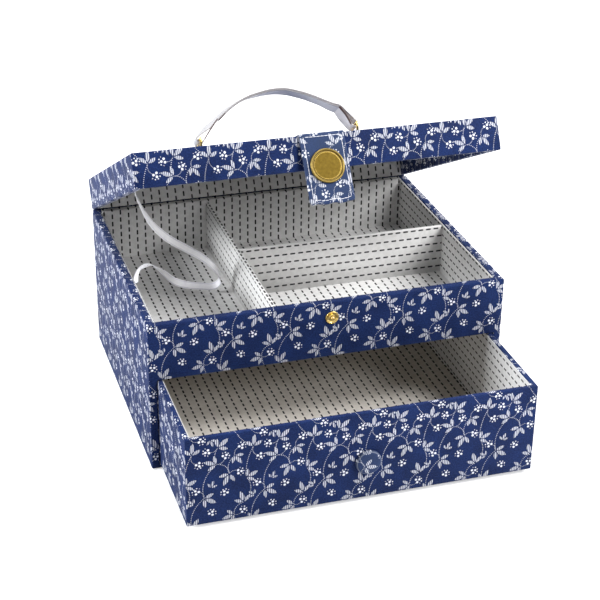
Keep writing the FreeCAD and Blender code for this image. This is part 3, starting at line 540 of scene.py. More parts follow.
def greyBoard():
    material, tree, shader = startMaterial("grey_board")
    fleck = noise(tree, inMillimetres(tree), 1.6, 5.0, 0.7)
    colour = blendColours(tree, spread(tree, fleck, 0.35, 0.7), boardLook["base"], boardLook["fleck"])
    tree.links.new(colour, shader.inputs["Base Color"])
    shader.inputs["Roughness"].default_value = 0.9
    bumped(tree, shader, fleck, 0.3, 0.0001)
    return material


buttonRim = (9.3, 9.8)                # the radii between which the button's disc gives way to its rim


def goldMetal(name, look, rings=False):
    material, tree, shader = startMaterial(name)
    place = inMillimetres(tree)
    smudge = noise(tree, place, 0.5, 3.0)
    height = smudge
    if rings:
        # brushed in circles round the button's middle
        uv = tree.nodes.new("ShaderNodeUVMap")
        uv.uv_map = "turned"
        reach = parts(tree, uv.outputs[0])[0]
        brushed = noise(tree, together(tree, maths(tree, "MULTIPLY", reach, 9.0), 0.0), 1.0, 4.0)
        height = maths(tree, "ADD", maths(tree, "MULTIPLY", brushed, 0.8), smudge)
    colour = blendColours(tree, spread(tree, smudge, 0.3, 0.7), look["base"], look["worn"])
    if rings:
        # painted shade: from the disc's edge outward the gold turns darker, over the groove and the rim
        outward = spread(tree, reach, buttonRim[0], buttonRim[1])
        colour = blendColours(tree, outward, colour, look["rim"])
    tree.links.new(colour, shader.inputs["Base Color"])
    shader.inputs["Metallic"].default_value = 1.0
    rough = spread(tree, height, 0.3, 1.2, look["roughness"], look["roughness"] + look["uneven"])
    if rings:
        # the disc is polished and the rim round it is rubbed
        rough = maths(tree, "MULTIPLY_ADD", outward, look["rubbedAndLit"], rough)
    tree.links.new(rough, shader.inputs["Roughness"])
    bumped(tree, shader, height, 0.04 if rings else 0.12, 0.00005)
    return material


def basePaperFinish():
    material, tree, shader = startMaterial("navy_paper")
    fibre = noise(tree, inMillimetres(tree), 1.2, 5.0, 0.7)
    colour = blendColours(tree, fibre, (0.010, 0.016, 0.055, 1), (0.022, 0.032, 0.085, 1))
    tree.links.new(colour, shader.inputs["Base Color"])
    shader.inputs["Roughness"].default_value = 0.85
    bumped(tree, shader, fibre, 0.25, 0.0001)
    return material


def satin(name, tones, width, ribsAlong=False, cut=0, legs=False, brownEnds=()):
    # Fine ribs run across the strip, as in grosgrain, or along it as in satin's floats. In millimetres: width, cut
    # as the length of a strap with cut edges, and for each end with a dark brown band whether it is the right one,
    # how far the band runs and how wide it is from the front edge
    material, tree, shader = startMaterial(name)
    uv = tree.nodes.new("ShaderNodeUVMap")
    uv.uv_map = "strip"
    axes = parts(tree, uv.outputs[0])
    ribs = maths(tree, "SINE", maths(tree, "MULTIPLY", axes[1 if ribsAlong else 0], 2 * pi / satinLook["ribs"]))
    cloudy = noise(tree, uv.outputs[0], 0.16, 2.0)
    face, fold, groove = satinLook[tones]
    # lit faces and shaded folds, painted in at random by noise
    colour = blendColours(tree, spread(tree, cloudy, 0.3, 0.7), fold, face)
    toEdge = maths(tree, "SUBTRACT", width / 2, maths(tree, "ABSOLUTE", axes[1]))
    beside = maths(tree, "ABSOLUTE", maths(tree, "SUBTRACT", toEdge, satinLook["selvedge"]))
    # a darker line beside each edge: a woven edge line, darker on the strap as painted shade of the gap between
    # plies
    colour = blendColours(tree, spread(tree, beside, 0.2, 0.4, 1, 0), colour, groove)
    if cut:
        # a thick strap shows its cut edges
        colour = blendColours(tree, spread(tree, toEdge, 0.08, 0.16), satinLook["cutEdge"], colour)
        if legs:
            # painted light: the legs at the right end are lighter than the rest of the outer ply
            fromRight = maths(tree, "SUBTRACT", cut, axes[0])
            leg = blendColours(tree, spread(tree, fromRight, 19, 21), satinLook["innerLeg"], satinLook["outerLeg"])
            colour = blendColours(tree, spread(tree, fromRight, 37, 42), leg, colour)
        # the strap is coloured dark brown beside these ends, along its front edge
        for atRight, reach, band in brownEnds:
            fromEnd = maths(tree, "SUBTRACT", cut, axes[0]) if atRight else axes[0]
            near = spread(tree, fromEnd, reach - 1, reach, 1, 0)
            infront = spread(tree, axes[1], band - width / 2, band - width / 2 + 0.4, 1, 0)
            colour = blendColours(tree, maths(tree, "MULTIPLY", near, infront), colour, satinLook["endBrown"])
    tree.links.new(colour, shader.inputs["Base Color"])
    tree.links.new(spread(tree, cloudy, 0.3, 0.7, *satinLook["rough"][tones]), shader.inputs["Roughness"])
    shader.inputs["Anisotropic"].default_value = 0.5
    shader.inputs["Specular IOR Level"].default_value = satinLook["shine"][tones]
    shader.inputs["Sheen Weight"].default_value = satinLook["sheen"][tones]
    shader.inputs["Sheen Roughness"].default_value = 0.4
    bumped(tree, shader, ribs, 0.3, 0.00003)
    return material


def threadFinish():
    material, tree, shader = startMaterial("white_thread")
    place = inMillimetres(tree)
    twist = maths(tree, "SINE", maths(tree, "MULTIPLY", parts(tree, place)[2], 2 * pi / 0.5))
    # darker in the twist's grooves, following the bump: painted shade
    colour = blendColours(tree, spread(tree, twist, -1, 1), threadLook["twist"], threadLook["base"])
    tree.links.new(colour, shader.inputs["Base Color"])
    shader.inputs["Roughness"].default_value = 0.6
    bumped(tree, shader, twist, 0.4, 0.00005)
    return material


board = greyBoard()
gold = goldMetal("gold_metal", goldLook)
turnedGold = goldMetal("gold_turned", goldLook, rings=True)
brass = goldMetal("brass_bright", brassLook)
navyPaper = basePaperFinish()
ribbonSatin = satin("ribbon_satin", "ribbon", 6, ribsAlong=True)
thread = threadFinish()


def finish(piece, material):
    piece.data.materials.clear()
    piece.data.materials.append(material)


def finishNodes(names, material):
    for name in names:
        nodes[name].data.materials.clear()
        nodes[name].data.materials.append(material)


brassNodes = ["handle_ring_left", "handle_ring_right", "handle_plate_left", "handle_plate_right", "handle_rivets"]
brassNodes += ["snap_socket", "snap_stud_washer"]
finishNodes([name for name in nodes if name.endswith(("_board", "_rail", "_card"))], board)
finishNodes(brassNodes, brass)
finishNodes(["button_back_plate", "knob_washer", "knob_core"], gold)
finishNodes(["tray_left_lining", "tray_right_lining", "drawer_left_lining", "drawer_right_lining"], sideLining)
finishNodes(["tray_front_lining", "drawer_front_lining", "drawer_back_lining"], wallLining)
finishNodes(["drawer_floor_lining", "drawer_bay_paper"], drawerFloorLining)
finishNodes(["tray_floor_lining"], trayFloorLining)
finishNodes(["lid_top_lining"], lidTopLining)
finishNodes(["base_paper"], navyPaper)
print("finishes ready")


# Mesh helpers
def newPiece(name, mesh, sharp=40):
    data = bpy.data.meshes.new(name)
    mesh.to_mesh(data)
    mesh.free()
    piece = bpy.data.objects.new(name, data)
    bpy.context.scene.collection.objects.link(piece)
    data.shade_smooth()
    data.set_sharp_from_angle(angle=radians(sharp))
    return piece


def boxMesh(low, high):
    mesh = bmesh.new()
    bmesh.ops.create_cube(mesh, size=1)
    bmesh.ops.scale(mesh, vec=Vector(high) - Vector(low), verts=mesh.verts)
    bmesh.ops.translate(mesh, vec=(Vector(high) + Vector(low)) / 2, verts=mesh.verts)
    return mesh


def facesToward(mesh, direction, where=None):
    return [
        face
        for face in mesh.faces
        if face.normal.dot(Vector(direction)) > 0.9 and (where is None or where(face.calc_center_median()))
    ]


def cutAcross(mesh, cuts):
    for place, normal in cuts:
        geometry = mesh.verts[:] + mesh.edges[:] + mesh.faces[:]
        bmesh.ops.bisect_plane(mesh, geom=geometry, dist=1e-7, plane_co=place, plane_no=normal)


def roundEdges(mesh, edges, offset, segments=3):
    bmesh.ops.bevel(
        mesh,
        geom=edges,
        offset=offset,
        offset_type="OFFSET",
        segments=segments,
        profile=0.5,
        affect="EDGES",
        material=-1,
        clamp_overlap=True,
    )


def sharpEdges(mesh, angle=30):
    return [
        edge
        for edge in mesh.edges
        if len(edge.link_faces) == 2 and edge.calc_face_angle(0) > radians(angle)
    ]


def layUv(mesh, name, spot):
    # spot gives a loop's place on the sheet, in millimetres, from its face and its own x, y and z
    layer = mesh.loops.layers.uv.new(name)
    for face in mesh.faces:
        for loop in face.loops:
            loop[layer].uv = spot(face, *(loop.vert.co / mm))


def wallSpot(side, x, y, z):
    # Upright on a wall: side is left, right, front or back
    if side == "left":
        return (-y + 11, z + 12)
    if side == "right":
        return (y + 29, z + 17)
    return (x, z) if side == "front" else (-x + 7, z)


def clothSpots(low, high, facing):
    # The print stands upright on the walls and runs on over the open side's rim
    rim = (high.z if facing[2] > 0 else low.z) / mm

    def spot(face, x, y, z):
        normal = face.normal
        middle = face.calc_center_median()
        if abs(normal.x) > max(abs(normal.y), abs(normal.z)):
            return wallSpot("left" if normal.x < 0 else "right", x, y, z)
        if abs(normal.y) > abs(normal.z):
            return wallSpot("front" if normal.y < 0 else "back", x, y, z)
        if normal.z * facing[2] < 0:
            return (x, y + 31)
        edges = {
            "left": middle.x - low.x,
            "right": high.x - middle.x,
            "front": middle.y - low.y,
            "back": high.y - middle.y,
        }
        side = min(edges, key=edges.get)
        inward = {
            "left": x - low.x / mm,
            "right": high.x / mm - x,
            "front": y - low.y / mm,
            "back": high.y / mm - y,
        }[side]
        return wallSpot(side, x, y, rim + inward * facing[2])

    return spot


def linePoints(name, places, passing=False, steps=12):
    # The points of a smooth curve that has the places as its control points, or that passes through them
    curve = bpy.data.curves.new(name, "CURVE")
    curve.dimensions = "3D"
    curve.resolution_u = steps
    if passing:
        spline = curve.splines.new("BEZIER")
        spline.bezier_points.add(len(places) - 1)
        for point, place in zip(spline.bezier_points, places):
            point.co = place
            point.handle_left_type = point.handle_right_type = "AUTO"
    else:
        spline = curve.splines.new("NURBS")
        spline.points.add(len(places) - 1)
        for point, place in zip(spline.points, places):
            point.co = (*place, 1)
        spline.order_u = 3
        spline.use_endpoint_u = True
    line = bpy.data.objects.new(name, curve)
    mesh = bpy.data.meshes.new_from_object(line)
    points = [vertex.co.copy() for vertex in mesh.vertices]
    bpy.data.meshes.remove(mesh)
    bpy.data.objects.remove(line)
    return points


def travelled(line):
    travel = [0.0]
    for before, after in zip(line, line[1:]):
        travel.append(travel[-1] + (after - before).length)
    return travel


def heading(line, index):
    return (line[min(index + 1, len(line) - 1)] - line[max(index - 1, 0)]).normalized()


def sweptStrip(line, widths, width, uvName, rows=4, across=False):
    # A flat strip along a line, whose width lies along widths at each of its points
    mesh = bmesh.new()
    count = len(line) - 1
    bmesh.ops.create_grid(mesh, x_segments=count, y_segments=rows, size=0.5)
    travel = travelled(line)
    spots = {}
    for vertex in mesh.verts:
        index = round((vertex.co.x + 0.5) * count)
        share = vertex.co.y
        spot = (travel[index] / mm, share * width / mm)
        spots[vertex] = spot[::-1] if across else spot
        vertex.co = line[index] + widths[index] * share * width
    layer = mesh.loops.layers.uv.new(uvName)
    for face in mesh.faces:
        for loop in face.loops:
            loop[layer].uv = spots[loop.vert]
    return mesh


def giveThickness(piece, thickness, offset=-1.0):
    thicken = piece.modifiers.new("thickness", "SOLIDIFY")
    thicken.thickness = thickness
    thicken.offset = offset
    thicken.use_even_offset = True
    return piece


def softenEdges(piece, width, segments=2):
    soften = piece.modifiers.new("soft_edges", "BEVEL")
    soften.width = width
    soften.segments = segments
    soften.limit_method = "ANGLE"
    soften.angle_limit = radians(50)
    return piece


def spunShape(profile, steps=64):
    # Turned round its own Z axis from (radius, height) points in millimetres
    mesh = bmesh.new()
    corners = [mesh.verts.new((radius * mm, 0, height * mm)) for radius, height in profile]
    edges = [mesh.edges.new(pair) for pair in zip(corners, corners[1:])]
    bmesh.ops.spin(
        mesh,
        geom=corners + edges,
        cent=(0, 0, 0),
        axis=(0, 0, 1),
        angle=2 * pi,
        steps=steps,
        use_merge=True,
        use_duplicate=False,
    )
    bmesh.ops.remove_doubles(mesh, verts=mesh.verts, dist=1e-6)
    bmesh.ops.recalc_face_normals(mesh, faces=mesh.faces)
    return mesh


# Lid ribbon: a flat satin ribbon that hangs from the lid's left wall into the tray and back up to the wall
ribbon = {
    "width": 6 * mm,
    "thickness": 0.35 * mm,
    "length": 265 * mm,
    # control points in millimetres, each with the way that the ribbon's face looks there
    "route": [
        ((-128.7, -44.1, 199.6), (1, 0, 0)),
        ((-128.5, -45.0, 194.0), (1, 0, 0)),
        ((-125.0, -40.5, 184.5), (0.95, -0.25, 0.2)),
        ((-118.0, -33.0, 168.0), (0.7, -0.6, 0.4)),
        ((-109.0, -24.5, 153.5), (0.3, -0.8, 0.5)),
        ((-98.0, -16.5, 140.5), (0, -0.85, 0.5)),
        ((-85.0, -8.0, 128.5), (0, -0.85, 0.55)),
        ((-71.5, 0.0, 116.5), (0.1, -0.8, 0.6)),
        ((-60.5, 6.5, 104.5), (0.4, -0.6, 0.5)),
        ((-54.2, 10.6, 93.6), (0.9, -0.3, 0.2)),
        ((-51.8, 13.6, 84.6), (0.9, 0.3, -0.4)),
        ((-57.8, 15.0, 80.4), (0.1, 0.8, -0.7)),
        ((-67.5, 14.0, 83.2), (-0.12, 0.78, -0.62)),
        ((-78.5, 12.5, 86.0), (0.1, 0.84, -0.54)),
        ((-90.5, 9.5, 92.5), (0.25, 0.85, -0.3)),
        ((-101.0, 3.0, 107.0), (0.4, 0.7, 0.4)),
        ((-111.5, -8.0, 119.0), (0.1, -0.1, 1.0)),
        ((-121.0, -19.5, 122.0), (-0.5, -0.5, 0.7)),
        ((-127.2, -29.0, 121.2), (-0.75, -0.6, 0.25)),
        ((-127.8, -33.2, 116.8), (-0.85, -0.5, 0)),
    ],
}


def makeRibbon():
    line = linePoints("ribbon_line", [Vector(place) * mm for place, facing in ribbon["route"]])
    facings = [Vector(facing).normalized() for place, facing in ribbon["route"]]
    widths = []
    for index in range(len(line)):
        at = index / (len(line) - 1) * (len(facings) - 1)
        low = min(int(at), len(facings) - 2)
        facing = facings[low].lerp(facings[low + 1], at - low)
        widths.append(heading(line, index).cross(facing).normalized())
    mesh = sweptStrip(line, widths, ribbon["width"], "strip")
    piece = giveThickness(newPiece("lid_ribbon_strip", mesh), ribbon["thickness"], 0.0)
    finish(piece, ribbonSatin)
    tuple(line[0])
    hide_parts("lid_ribbon")
    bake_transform(piece)
    print("ribbon length", round(travelled(line)[-1] / mm, 1), "mm")


makeRibbon()

# Cloth covers
coverShape = {
    "thickness": 0.6 * mm,
    "corner": 0.9 * mm,
    "underFold": 15 * mm,
    "bayFold": 15 * mm,
    "rim": 5.9 * mm,
    "drawerRim": 3.7 * mm,
}


def foldIn(mesh, faces, move):
    # Takes faces out and turns the cloth in along the hole that they leave
    rims = {edge for face in faces for edge in face.edges if sum(near in faces for near in edge.link_faces) == 1}
    bmesh.ops.delete(mesh, geom=faces, context="FACES")
    folded = bmesh.ops.extrude_edge_only(mesh, edges=[edge for edge in rims if edge.is_valid])
    moved = [item for item in folded["geom"] if isinstance(item, bmesh.types.BMVert)]
    bmesh.ops.translate(mesh, vec=move, verts=moved)
    bmesh.ops.recalc_face_normals(mesh, faces=mesh.faces)


def boxCover(low, high, facing, rim, depth, bay=None):
    # A box's cloth, open toward facing, folded over its rim and down inside
    mesh = boxMesh(low, high)
    rimFaces = facesToward(mesh, facing)
    bmesh.ops.inset_region(mesh, faces=rimFaces, thickness=rim, use_even_offset=True)
    foldIn(mesh, rimFaces, Vector(facing) * -depth)
    if bay:
        under = facesToward(mesh, (0, 0, -1))
        bmesh.ops.inset_region(mesh, faces=under, thickness=coverShape["underFold"], use_even_offset=True)
        bmesh.ops.delete(mesh, geom=under, context="FACES")
        bayLow, bayHigh = bay
        cutAcross(mesh, [(bayLow, (1, 0, 0)), (bayHigh, (1, 0, 0)), (bayLow, (0, 0, 1)), (bayHigh, (0, 0, 1))])
        opening = facesToward(
            mesh,
            (0, -1, 0),
            lambda middle: abs(middle.y - low.y) < 1e-6
            and bayLow.x < middle.x < bayHigh.x
            and bayLow.z < middle.z < bayHigh.z,
        )
        foldIn(mesh, opening, (0, coverShape["bayFold"], 0))
    roundEdges(mesh, sharpEdges(mesh), coverShape["corner"])
    layUv(mesh, "cloth", clothSpots(low, high, facing))
    return mesh


def coverPiece(name, mesh, body, node):
    piece = giveThickness(newPiece(name, mesh), coverShape["thickness"])
    finish(piece, cloth)
    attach(piece, body)
    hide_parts(node)
    return piece


caseLow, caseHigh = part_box("case_cover")
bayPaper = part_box("drawer_bay_paper")
bay = (
    Vector((bayPaper[0].x, caseLow.y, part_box("case_base_board")[1].z)),
    Vector((bayPaper[1].x, caseLow.y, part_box("tray_floor_board")[0].z)),
)
trayDepth = caseHigh.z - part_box("tray_floor_lining")[0].z
caseMesh = boxCover(caseLow, caseHigh, (0, 0, 1), coverShape["rim"], trayDepth, bay)
coverPiece("case_cloth", caseMesh, "case", "case_cover")

lidLow, lidHigh = shutBox("lid_cover")
lidDepth = shutBox("lid_top_board")[0].z - lidLow.z
lidMesh = boxCover(lidLow, lidHigh, (0, 0, -1), coverShape["rim"], lidDepth)
bmesh.ops.transform(lidMesh, matrix=lidTurn, verts=lidMesh.verts)
coverPiece("lid_cloth", lidMesh, "lid", "lid_cover")

drawerLow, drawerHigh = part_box("drawer_cover")
drawerDepth = drawerHigh.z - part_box("drawer_floor_lining")[0].z
drawerMesh = boxCover(drawerLow, drawerHigh, (0, 0, 1), coverShape["drawerRim"], drawerDepth)
coverPiece("drawer_cloth", drawerMesh, "drawer", "drawer_cover")
print("covers made")

# Hinge cloth: a strip glued over the back of the case and of the lid
hingeStrip = {
    "thickness": 0.4 * mm,
    "legs": 14 * mm,
    "bend": 1.5 * mm,                 # how far from the hinge line the cloth bends
}


def makeHingeCloth():
    low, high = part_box("hinge_cloth")
    up = Vector((0, sin(lidAngle), cos(lidAngle)))
    out = Vector((0, cos(lidAngle), -sin(lidAngle))) * hingeStrip["thickness"] / 2
    foot = hingePoint + Vector((0, hingeStrip["thickness"] / 2, 0))
    rise = Vector((0, 0, 1))
    distances = (1.0, 0.7, 0.4, 0.15)
    places = [foot - rise * hingeStrip["legs"] * share for share in distances]
    places += [hingePoint + out + up * hingeStrip["legs"] * share for share in reversed(distances)]
    line = linePoints("hinge_line", places, steps=4)
    widths = [Vector((-1, 0, 0))] * len(line)
    mesh = sweptStrip(line, widths, high.x - low.x, "cloth", rows=12, across=True)
    piece = giveThickness(newPiece("hinge_strip", mesh), hingeStrip["thickness"], 0.0)
    finish(piece, cloth)
    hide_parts("hinge_cloth")
    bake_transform(piece)


makeHingeCloth()

# Linings that fold over an edge
paperShape = {
    "strip": 0.13 * mm,               # the paper over a rim
    "stripEnd": 1.8 * mm,             # how far it stops before the hinge line; the gap shows the navy cloth under it, which stands in for the shade in the crease
    "wallRadius": 0.35 * mm,
    "dividerThickness": 0.5 * mm,
    "dividerRadius": 0.6 * mm,
    "topRow": 1.6,                    # the dividers' first row below their top, in millimetres
}


def addBox(mesh, low, high):
    added = bmesh.ops.create_cube(mesh, size=1)["verts"]
    bmesh.ops.scale(mesh, vec=Vector(high) - Vector(low), verts=added)
    bmesh.ops.translate(mesh, vec=(Vector(high) + Vector(low)) / 2, verts=added)
    return added


def backLining(name, node, body, low, high, rim, upward):
    # The wall's card and the paper over its rim, in the shut box's frame
    mesh = bmesh.new()
    reach = hingePoint.y - paperShape["stripEnd"]
    strip = paperShape["strip"]
    low, high = Vector(low), Vector(high)
    if upward:
        high.z = rim + strip
        addBox(mesh, low, high)
        addBox(mesh, (low.x, high.y - strip, rim), (high.x, reach, rim + strip))
    else:
        low.z = rim - strip
        addBox(mesh, low, high)
        addBox(mesh, (low.x, high.y - strip, rim - strip), (high.x, reach, rim))
    front = [
        edge
        for edge in sharpEdges(mesh)
        if abs(edge.verts[0].co.y - low.y) < 1e-7
        and abs(edge.verts[1].co.y - low.y) < 1e-7
        and all(abs(vertex.co.z - (high.z if upward else low.z)) < 1e-7 for vertex in edge.verts)
    ]
    roundEdges(mesh, front, paperShape["wallRadius"])
    fold = rim / mm

    def spot(face, x, y, z):
        beyond = y - low.y / mm
        along = z if abs(face.normal.y) > 0.7 else (fold + beyond if upward else fold - beyond)
        return (along, x - backRows)

    layUv(mesh, "lining", spot)
    if not upward:
        bmesh.ops.transform(mesh, matrix=lidTurn, verts=mesh.verts)
    piece = newPiece(name, mesh)
    finish(piece, paperLining)
    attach(piece, body)
    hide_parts(node)


backLining("tray_back_paper", "tray_back_lining", "case", *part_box("tray_back_lining"), caseHigh.z, True)
backLining("lid_back_paper", "lid_back_lining", "lid", *shutBox("lid_back_lining"), lidLow.z, False)


def dividerPaper(name, node, sideways):
    low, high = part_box(node)
    mesh = boxMesh(low, high)
    bmesh.ops.delete(mesh, geom=facesToward(mesh, (0, 0, -1)), context="FACES")
    length = 0 if sideways else 1
    top = [
        edge
        for edge in mesh.edges
        if all(abs(vertex.co.z - high.z) < 1e-7 for vertex in edge.verts)
        and abs(edge.verts[0].co[length] - edge.verts[1].co[length]) > 1e-6
    ]
    roundEdges(mesh, top, paperShape["dividerRadius"], 4)
    firstRow = high.z / mm - paperShape["topRow"] - liningLook["rowPitch"] / 2
    middle = (low + high) / 2 / mm

    def spot(face, x, y, z):
        along = x if sideways else y
        if abs(face.normal.z) < 0.7:
            return (along, z - firstRow)
        return (along, 0 if sideways else x - middle.x + liningLook["rowPitch"] / 2)

    layUv(mesh, "lining", spot)
    piece = giveThickness(newPiece(name, mesh), paperShape["dividerThickness"])
    finish(piece, paperLining)
    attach(piece, "case")
    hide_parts(node)


dividerPaper("long_divider_wrap", "long_divider_paper", False)
dividerPaper("cross_divider_wrap", "cross_divider_paper", True)
print("linings folded")

# Closure tab: a stuffed and stitched cloth sleeve. It is made flat, in millimetres: Y up to the lid's edge, Z out
tabShape = {
    "lean": 9,                        # how far it hangs out from the lid's front, in degrees
    "width": 33,
    "bottom": -50.6,
    "top": -1.2,
    "back": 0.3,
    "front": 2.7,
    "corner": 3.0,
    "edgeCuts": (0.35, 0.8, 1.5, 2.2, 2.7, 3.2, 4.1, 6.0),
    "middleCuts": 6.5,
    # how much the face sinks at a distance from the edge: rounded edge, stitched channel, crowned middle
    "sink": [(0, 0.8), (0.35, 0.42), (0.8, 0.18), (1.5, 0.02), (2.2, 0.1), (2.7, 0.34), (3.2, 0.1), (4.1, -0.04),
             (6.0, -0.12), (16, -0.2)],
    "thinFrom": -11,                  # above this the sleeve thins toward the lid's edge
    "topFront": 1.9,
    "wave": 0.55,                     # the bottom edge's waviness
    "wavePitch": 12,
    # inner and outer points, Y and Z, of the sleeve's way over the lid's edge to its glued end
    "overEdge": [
        ((-0.4, 0.3), (-0.1, 1.5)), ((0.1, 0.2), (0.55, 1.0)), ((0.32, -0.1), (0.95, 0.4)),
        ((0.3, -0.8), (0.98, -0.6)), ((0.31, -1.98), (0.91, -1.9)), ((0.62, -3.95), (1.22, -3.86)),
        ((2.5, -15.8), (3.09, -15.7)),
    ],
    "stitchInset": 2.7,
    "stitchPitch": 2.8,
    "stitchLength": 2.95,
    "stitchThickness": 0.5,
    "buttonDrop": 24,
    # a hollow behind the snap's socket, which takes the stud's ball
    "socketDrop": 37.2,
    "hollow": (2.3, 3.0),
    "hollowDepth": 1.3,
}
tabTurn = Matrix.Translation(tabPoint) @ Matrix.Rotation(pi / 2 - radians(tabShape["lean"]) - lidAngle, 4, "X")


def alongTable(table, value):
    if value <= table[0][0]:
        return table[0][1]
    for (before, low), (after, high) in zip(table, table[1:]):
        if value <= after:
            return low + (high - low) * (value - before) / (after - before)
    return table[-1][1]


def fromTabEdge(x, y):
    corner = tabShape["corner"]
    side = tabShape["width"] / 2 - abs(x)
    under = y - tabShape["bottom"]
    if side < corner and under < corner:
        return max(corner - hypot(corner - side, corner - under), 0)
    return max(min(side, under), 0)


def thinned(y):
    # How much thinner the sleeve is near the lid's edge
    share = min(max((y - tabShape["thinFrom"]) / (tabShape["top"] - tabShape["thinFrom"]), 0), 1)
    return share * share * (tabShape["front"] - tabShape["topFront"])


def makeTabCloth():
    half = tabShape["width"] / 2
    bottom, top = tabShape["bottom"], tabShape["top"]
    back, front = tabShape["back"], tabShape["front"]
    mesh = boxMesh((-half, bottom, back), (half, top, front))
    corners = [edge for edge in mesh.edges if all(vertex.co.y < bottom + 0.01 for vertex in edge.verts)]
    corners = [edge for edge in corners if abs(edge.verts[0].co.z - edge.verts[1].co.z) > 1]
    roundEdges(mesh, corners, tabShape["corner"], 6)
    cuts = [((0, 0, (back + front) / 2), (0, 0, 1))]
    for inset in tabShape["edgeCuts"]:
        cuts += [((side * (half - inset), 0, 0), (1, 0, 0)) for side in (1, -1)]
        cuts.append(((0, bottom + inset, 0), (0, 1, 0)))
    pitch = tabShape["middleCuts"]
    cuts += [((step * pitch, 0, 0), (1, 0, 0)) for step in range(-1, 2)]
    cuts += [((0, bottom + step * pitch, 0), (0, 1, 0)) for step in range(2, int((top - bottom) / pitch) + 1)]
    for away in tabShape["hollow"]:
        cuts += [((side * away, 0, 0), (1, 0, 0)) for side in (1, -1)]
        cuts += [((0, side * away - tabShape["socketDrop"], 0), (0, 1, 0)) for side in (1, -1)]
    cutAcross(mesh, cuts)
    outward = mesh.verts.layers.float.new("outward")
    travel = mesh.verts.layers.float.new("travel")
    for vertex in mesh.verts:
        vertex[outward] = (vertex.co.z - back) / (front - back)
        vertex[travel] = vertex.co.y
    reach = top
    last = Vector((top, front))
    end = facesToward(mesh, (0, 1, 0), lambda place: place.y > top - 0.01)
    for inner, outer in tabShape["overEdge"]:
        grown = bmesh.ops.extrude_face_region(mesh, geom=end)["geom"]
        end = [item for item in grown if isinstance(item, bmesh.types.BMFace)]
        reach += (Vector(outer) - last).length
        last = Vector(outer)
        for vertex in grown:
            if not isinstance(vertex, bmesh.types.BMVert):
                continue
            vertex.co.yz = Vector(inner).lerp(Vector(outer), vertex[outward])
            vertex[travel] = reach
    for vertex in mesh.verts:
        x, y, z = vertex.co
        onSleeve = vertex[travel] > top + 0.01
        away = min(half - abs(x), 2.2) if onSleeve else fromTabEdge(x, y)
        sink = alongTable(tabShape["sink"], max(away, 0)) * (0.25 if onSleeve else 1)
        if not onSleeve:
            vertex.co.z += sink * (0.6 if vertex[outward] < 0.1 else -1 if vertex[outward] > 0.9 else 0)
            vertex.co.z -= thinned(y) * vertex[outward]
            if vertex[outward] < 0.1 and max(abs(x), abs(y + tabShape["socketDrop"])) < tabShape["hollow"][0] + 0.05:
                vertex.co.z += tabShape["hollowDepth"]
        vertex.co.y += waveAt(x, y)
    bmesh.ops.recalc_face_normals(mesh, faces=mesh.faces)
    layer = mesh.loops.layers.uv.new("cloth")
    for face in mesh.faces:
        for loop in face.loops:
            loop[layer].uv = (loop.vert.co.x + 33, loop.vert[travel] + 26)
    bmesh.ops.scale(mesh, vec=(mm, mm, mm), verts=mesh.verts)
    bmesh.ops.transform(mesh, matrix=tabTurn, verts=mesh.verts)
    piece = newPiece("closure_tab_cloth", mesh, 60)
    finish(piece, paddedCloth)
    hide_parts("tab_cover", "tab_root", "tab_core")
    end = tabTurn @ (Vector((0, -2.0, 1.5)) * mm)
    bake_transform(piece)


def waveAt(x, y):
    fade = max(0, 1 - (y - tabShape["bottom"]) / 9)
    return tabShape["wave"] * sin(2 * pi * (x + 2) / tabShape["wavePitch"]) * fade


def spotsAlong(line, pitch):
    # Places and headings at even steps along a line
    travel = travelled(line)
    count = int(travel[-1] / pitch)
    first = (travel[-1] - count * pitch) / 2
    spots = []
    index = 0
    for step in range(count + 1):
        while index < len(travel) - 2 and travel[index + 1] < first + step * pitch:
            index += 1
        share = (first + step * pitch - travel[index]) / max(travel[index + 1] - travel[index], 1e-9)
        spots.append((line[index].lerp(line[index + 1], share), heading(line, index)))
    return spots


def makeStitches():
    side = tabShape["width"] / 2 - tabShape["stitchInset"]
    low = tabShape["bottom"] + tabShape["stitchInset"]
    high = tabShape["top"] - 0.9
    around = [(-side, high), (-side, -20), (-side, low + 5), (-side, low), (5 - side, low)]
    around += [(-x, y) for x, y in reversed(around)]
    across = [(-side + 2, high), (0, high - 0.3), (side - 2, high)]
    mesh = bmesh.new()
    size = Vector((tabShape["stitchLength"], tabShape["stitchThickness"], tabShape["stitchThickness"] * 0.8))
    surface = tabShape["front"] - alongTable(tabShape["sink"], tabShape["stitchInset"]) + 0.06
    for places in (around, across):
        line = linePoints("stitch_line", [Vector((x, y, 0)) for x, y in places])
        for place, toward in spotsAlong(line, tabShape["stitchPitch"]):
            stitch = bmesh.ops.create_icosphere(mesh, subdivisions=2, radius=0.5)["verts"]
            bmesh.ops.scale(mesh, vec=size, verts=stitch)
            turn = Matrix.Rotation(atan2(toward.y, toward.x), 3, "Z")
            bmesh.ops.rotate(mesh, cent=(0, 0, 0), matrix=turn, verts=stitch)
            height = surface + (0 if places is around else 0.5) - thinned(place.y)
            bmesh.ops.translate(mesh, vec=(place.x, place.y + waveAt(place.x, place.y), height), verts=stitch)
    bmesh.ops.scale(mesh, vec=(mm, mm, mm), verts=mesh.verts)
    bmesh.ops.transform(mesh, matrix=tabTurn, verts=mesh.verts)
    piece = newPiece("tab_stitches", mesh)
    finish(piece, thread)
    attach(piece, "closure_tab")


makeTabCloth()
makeStitches()

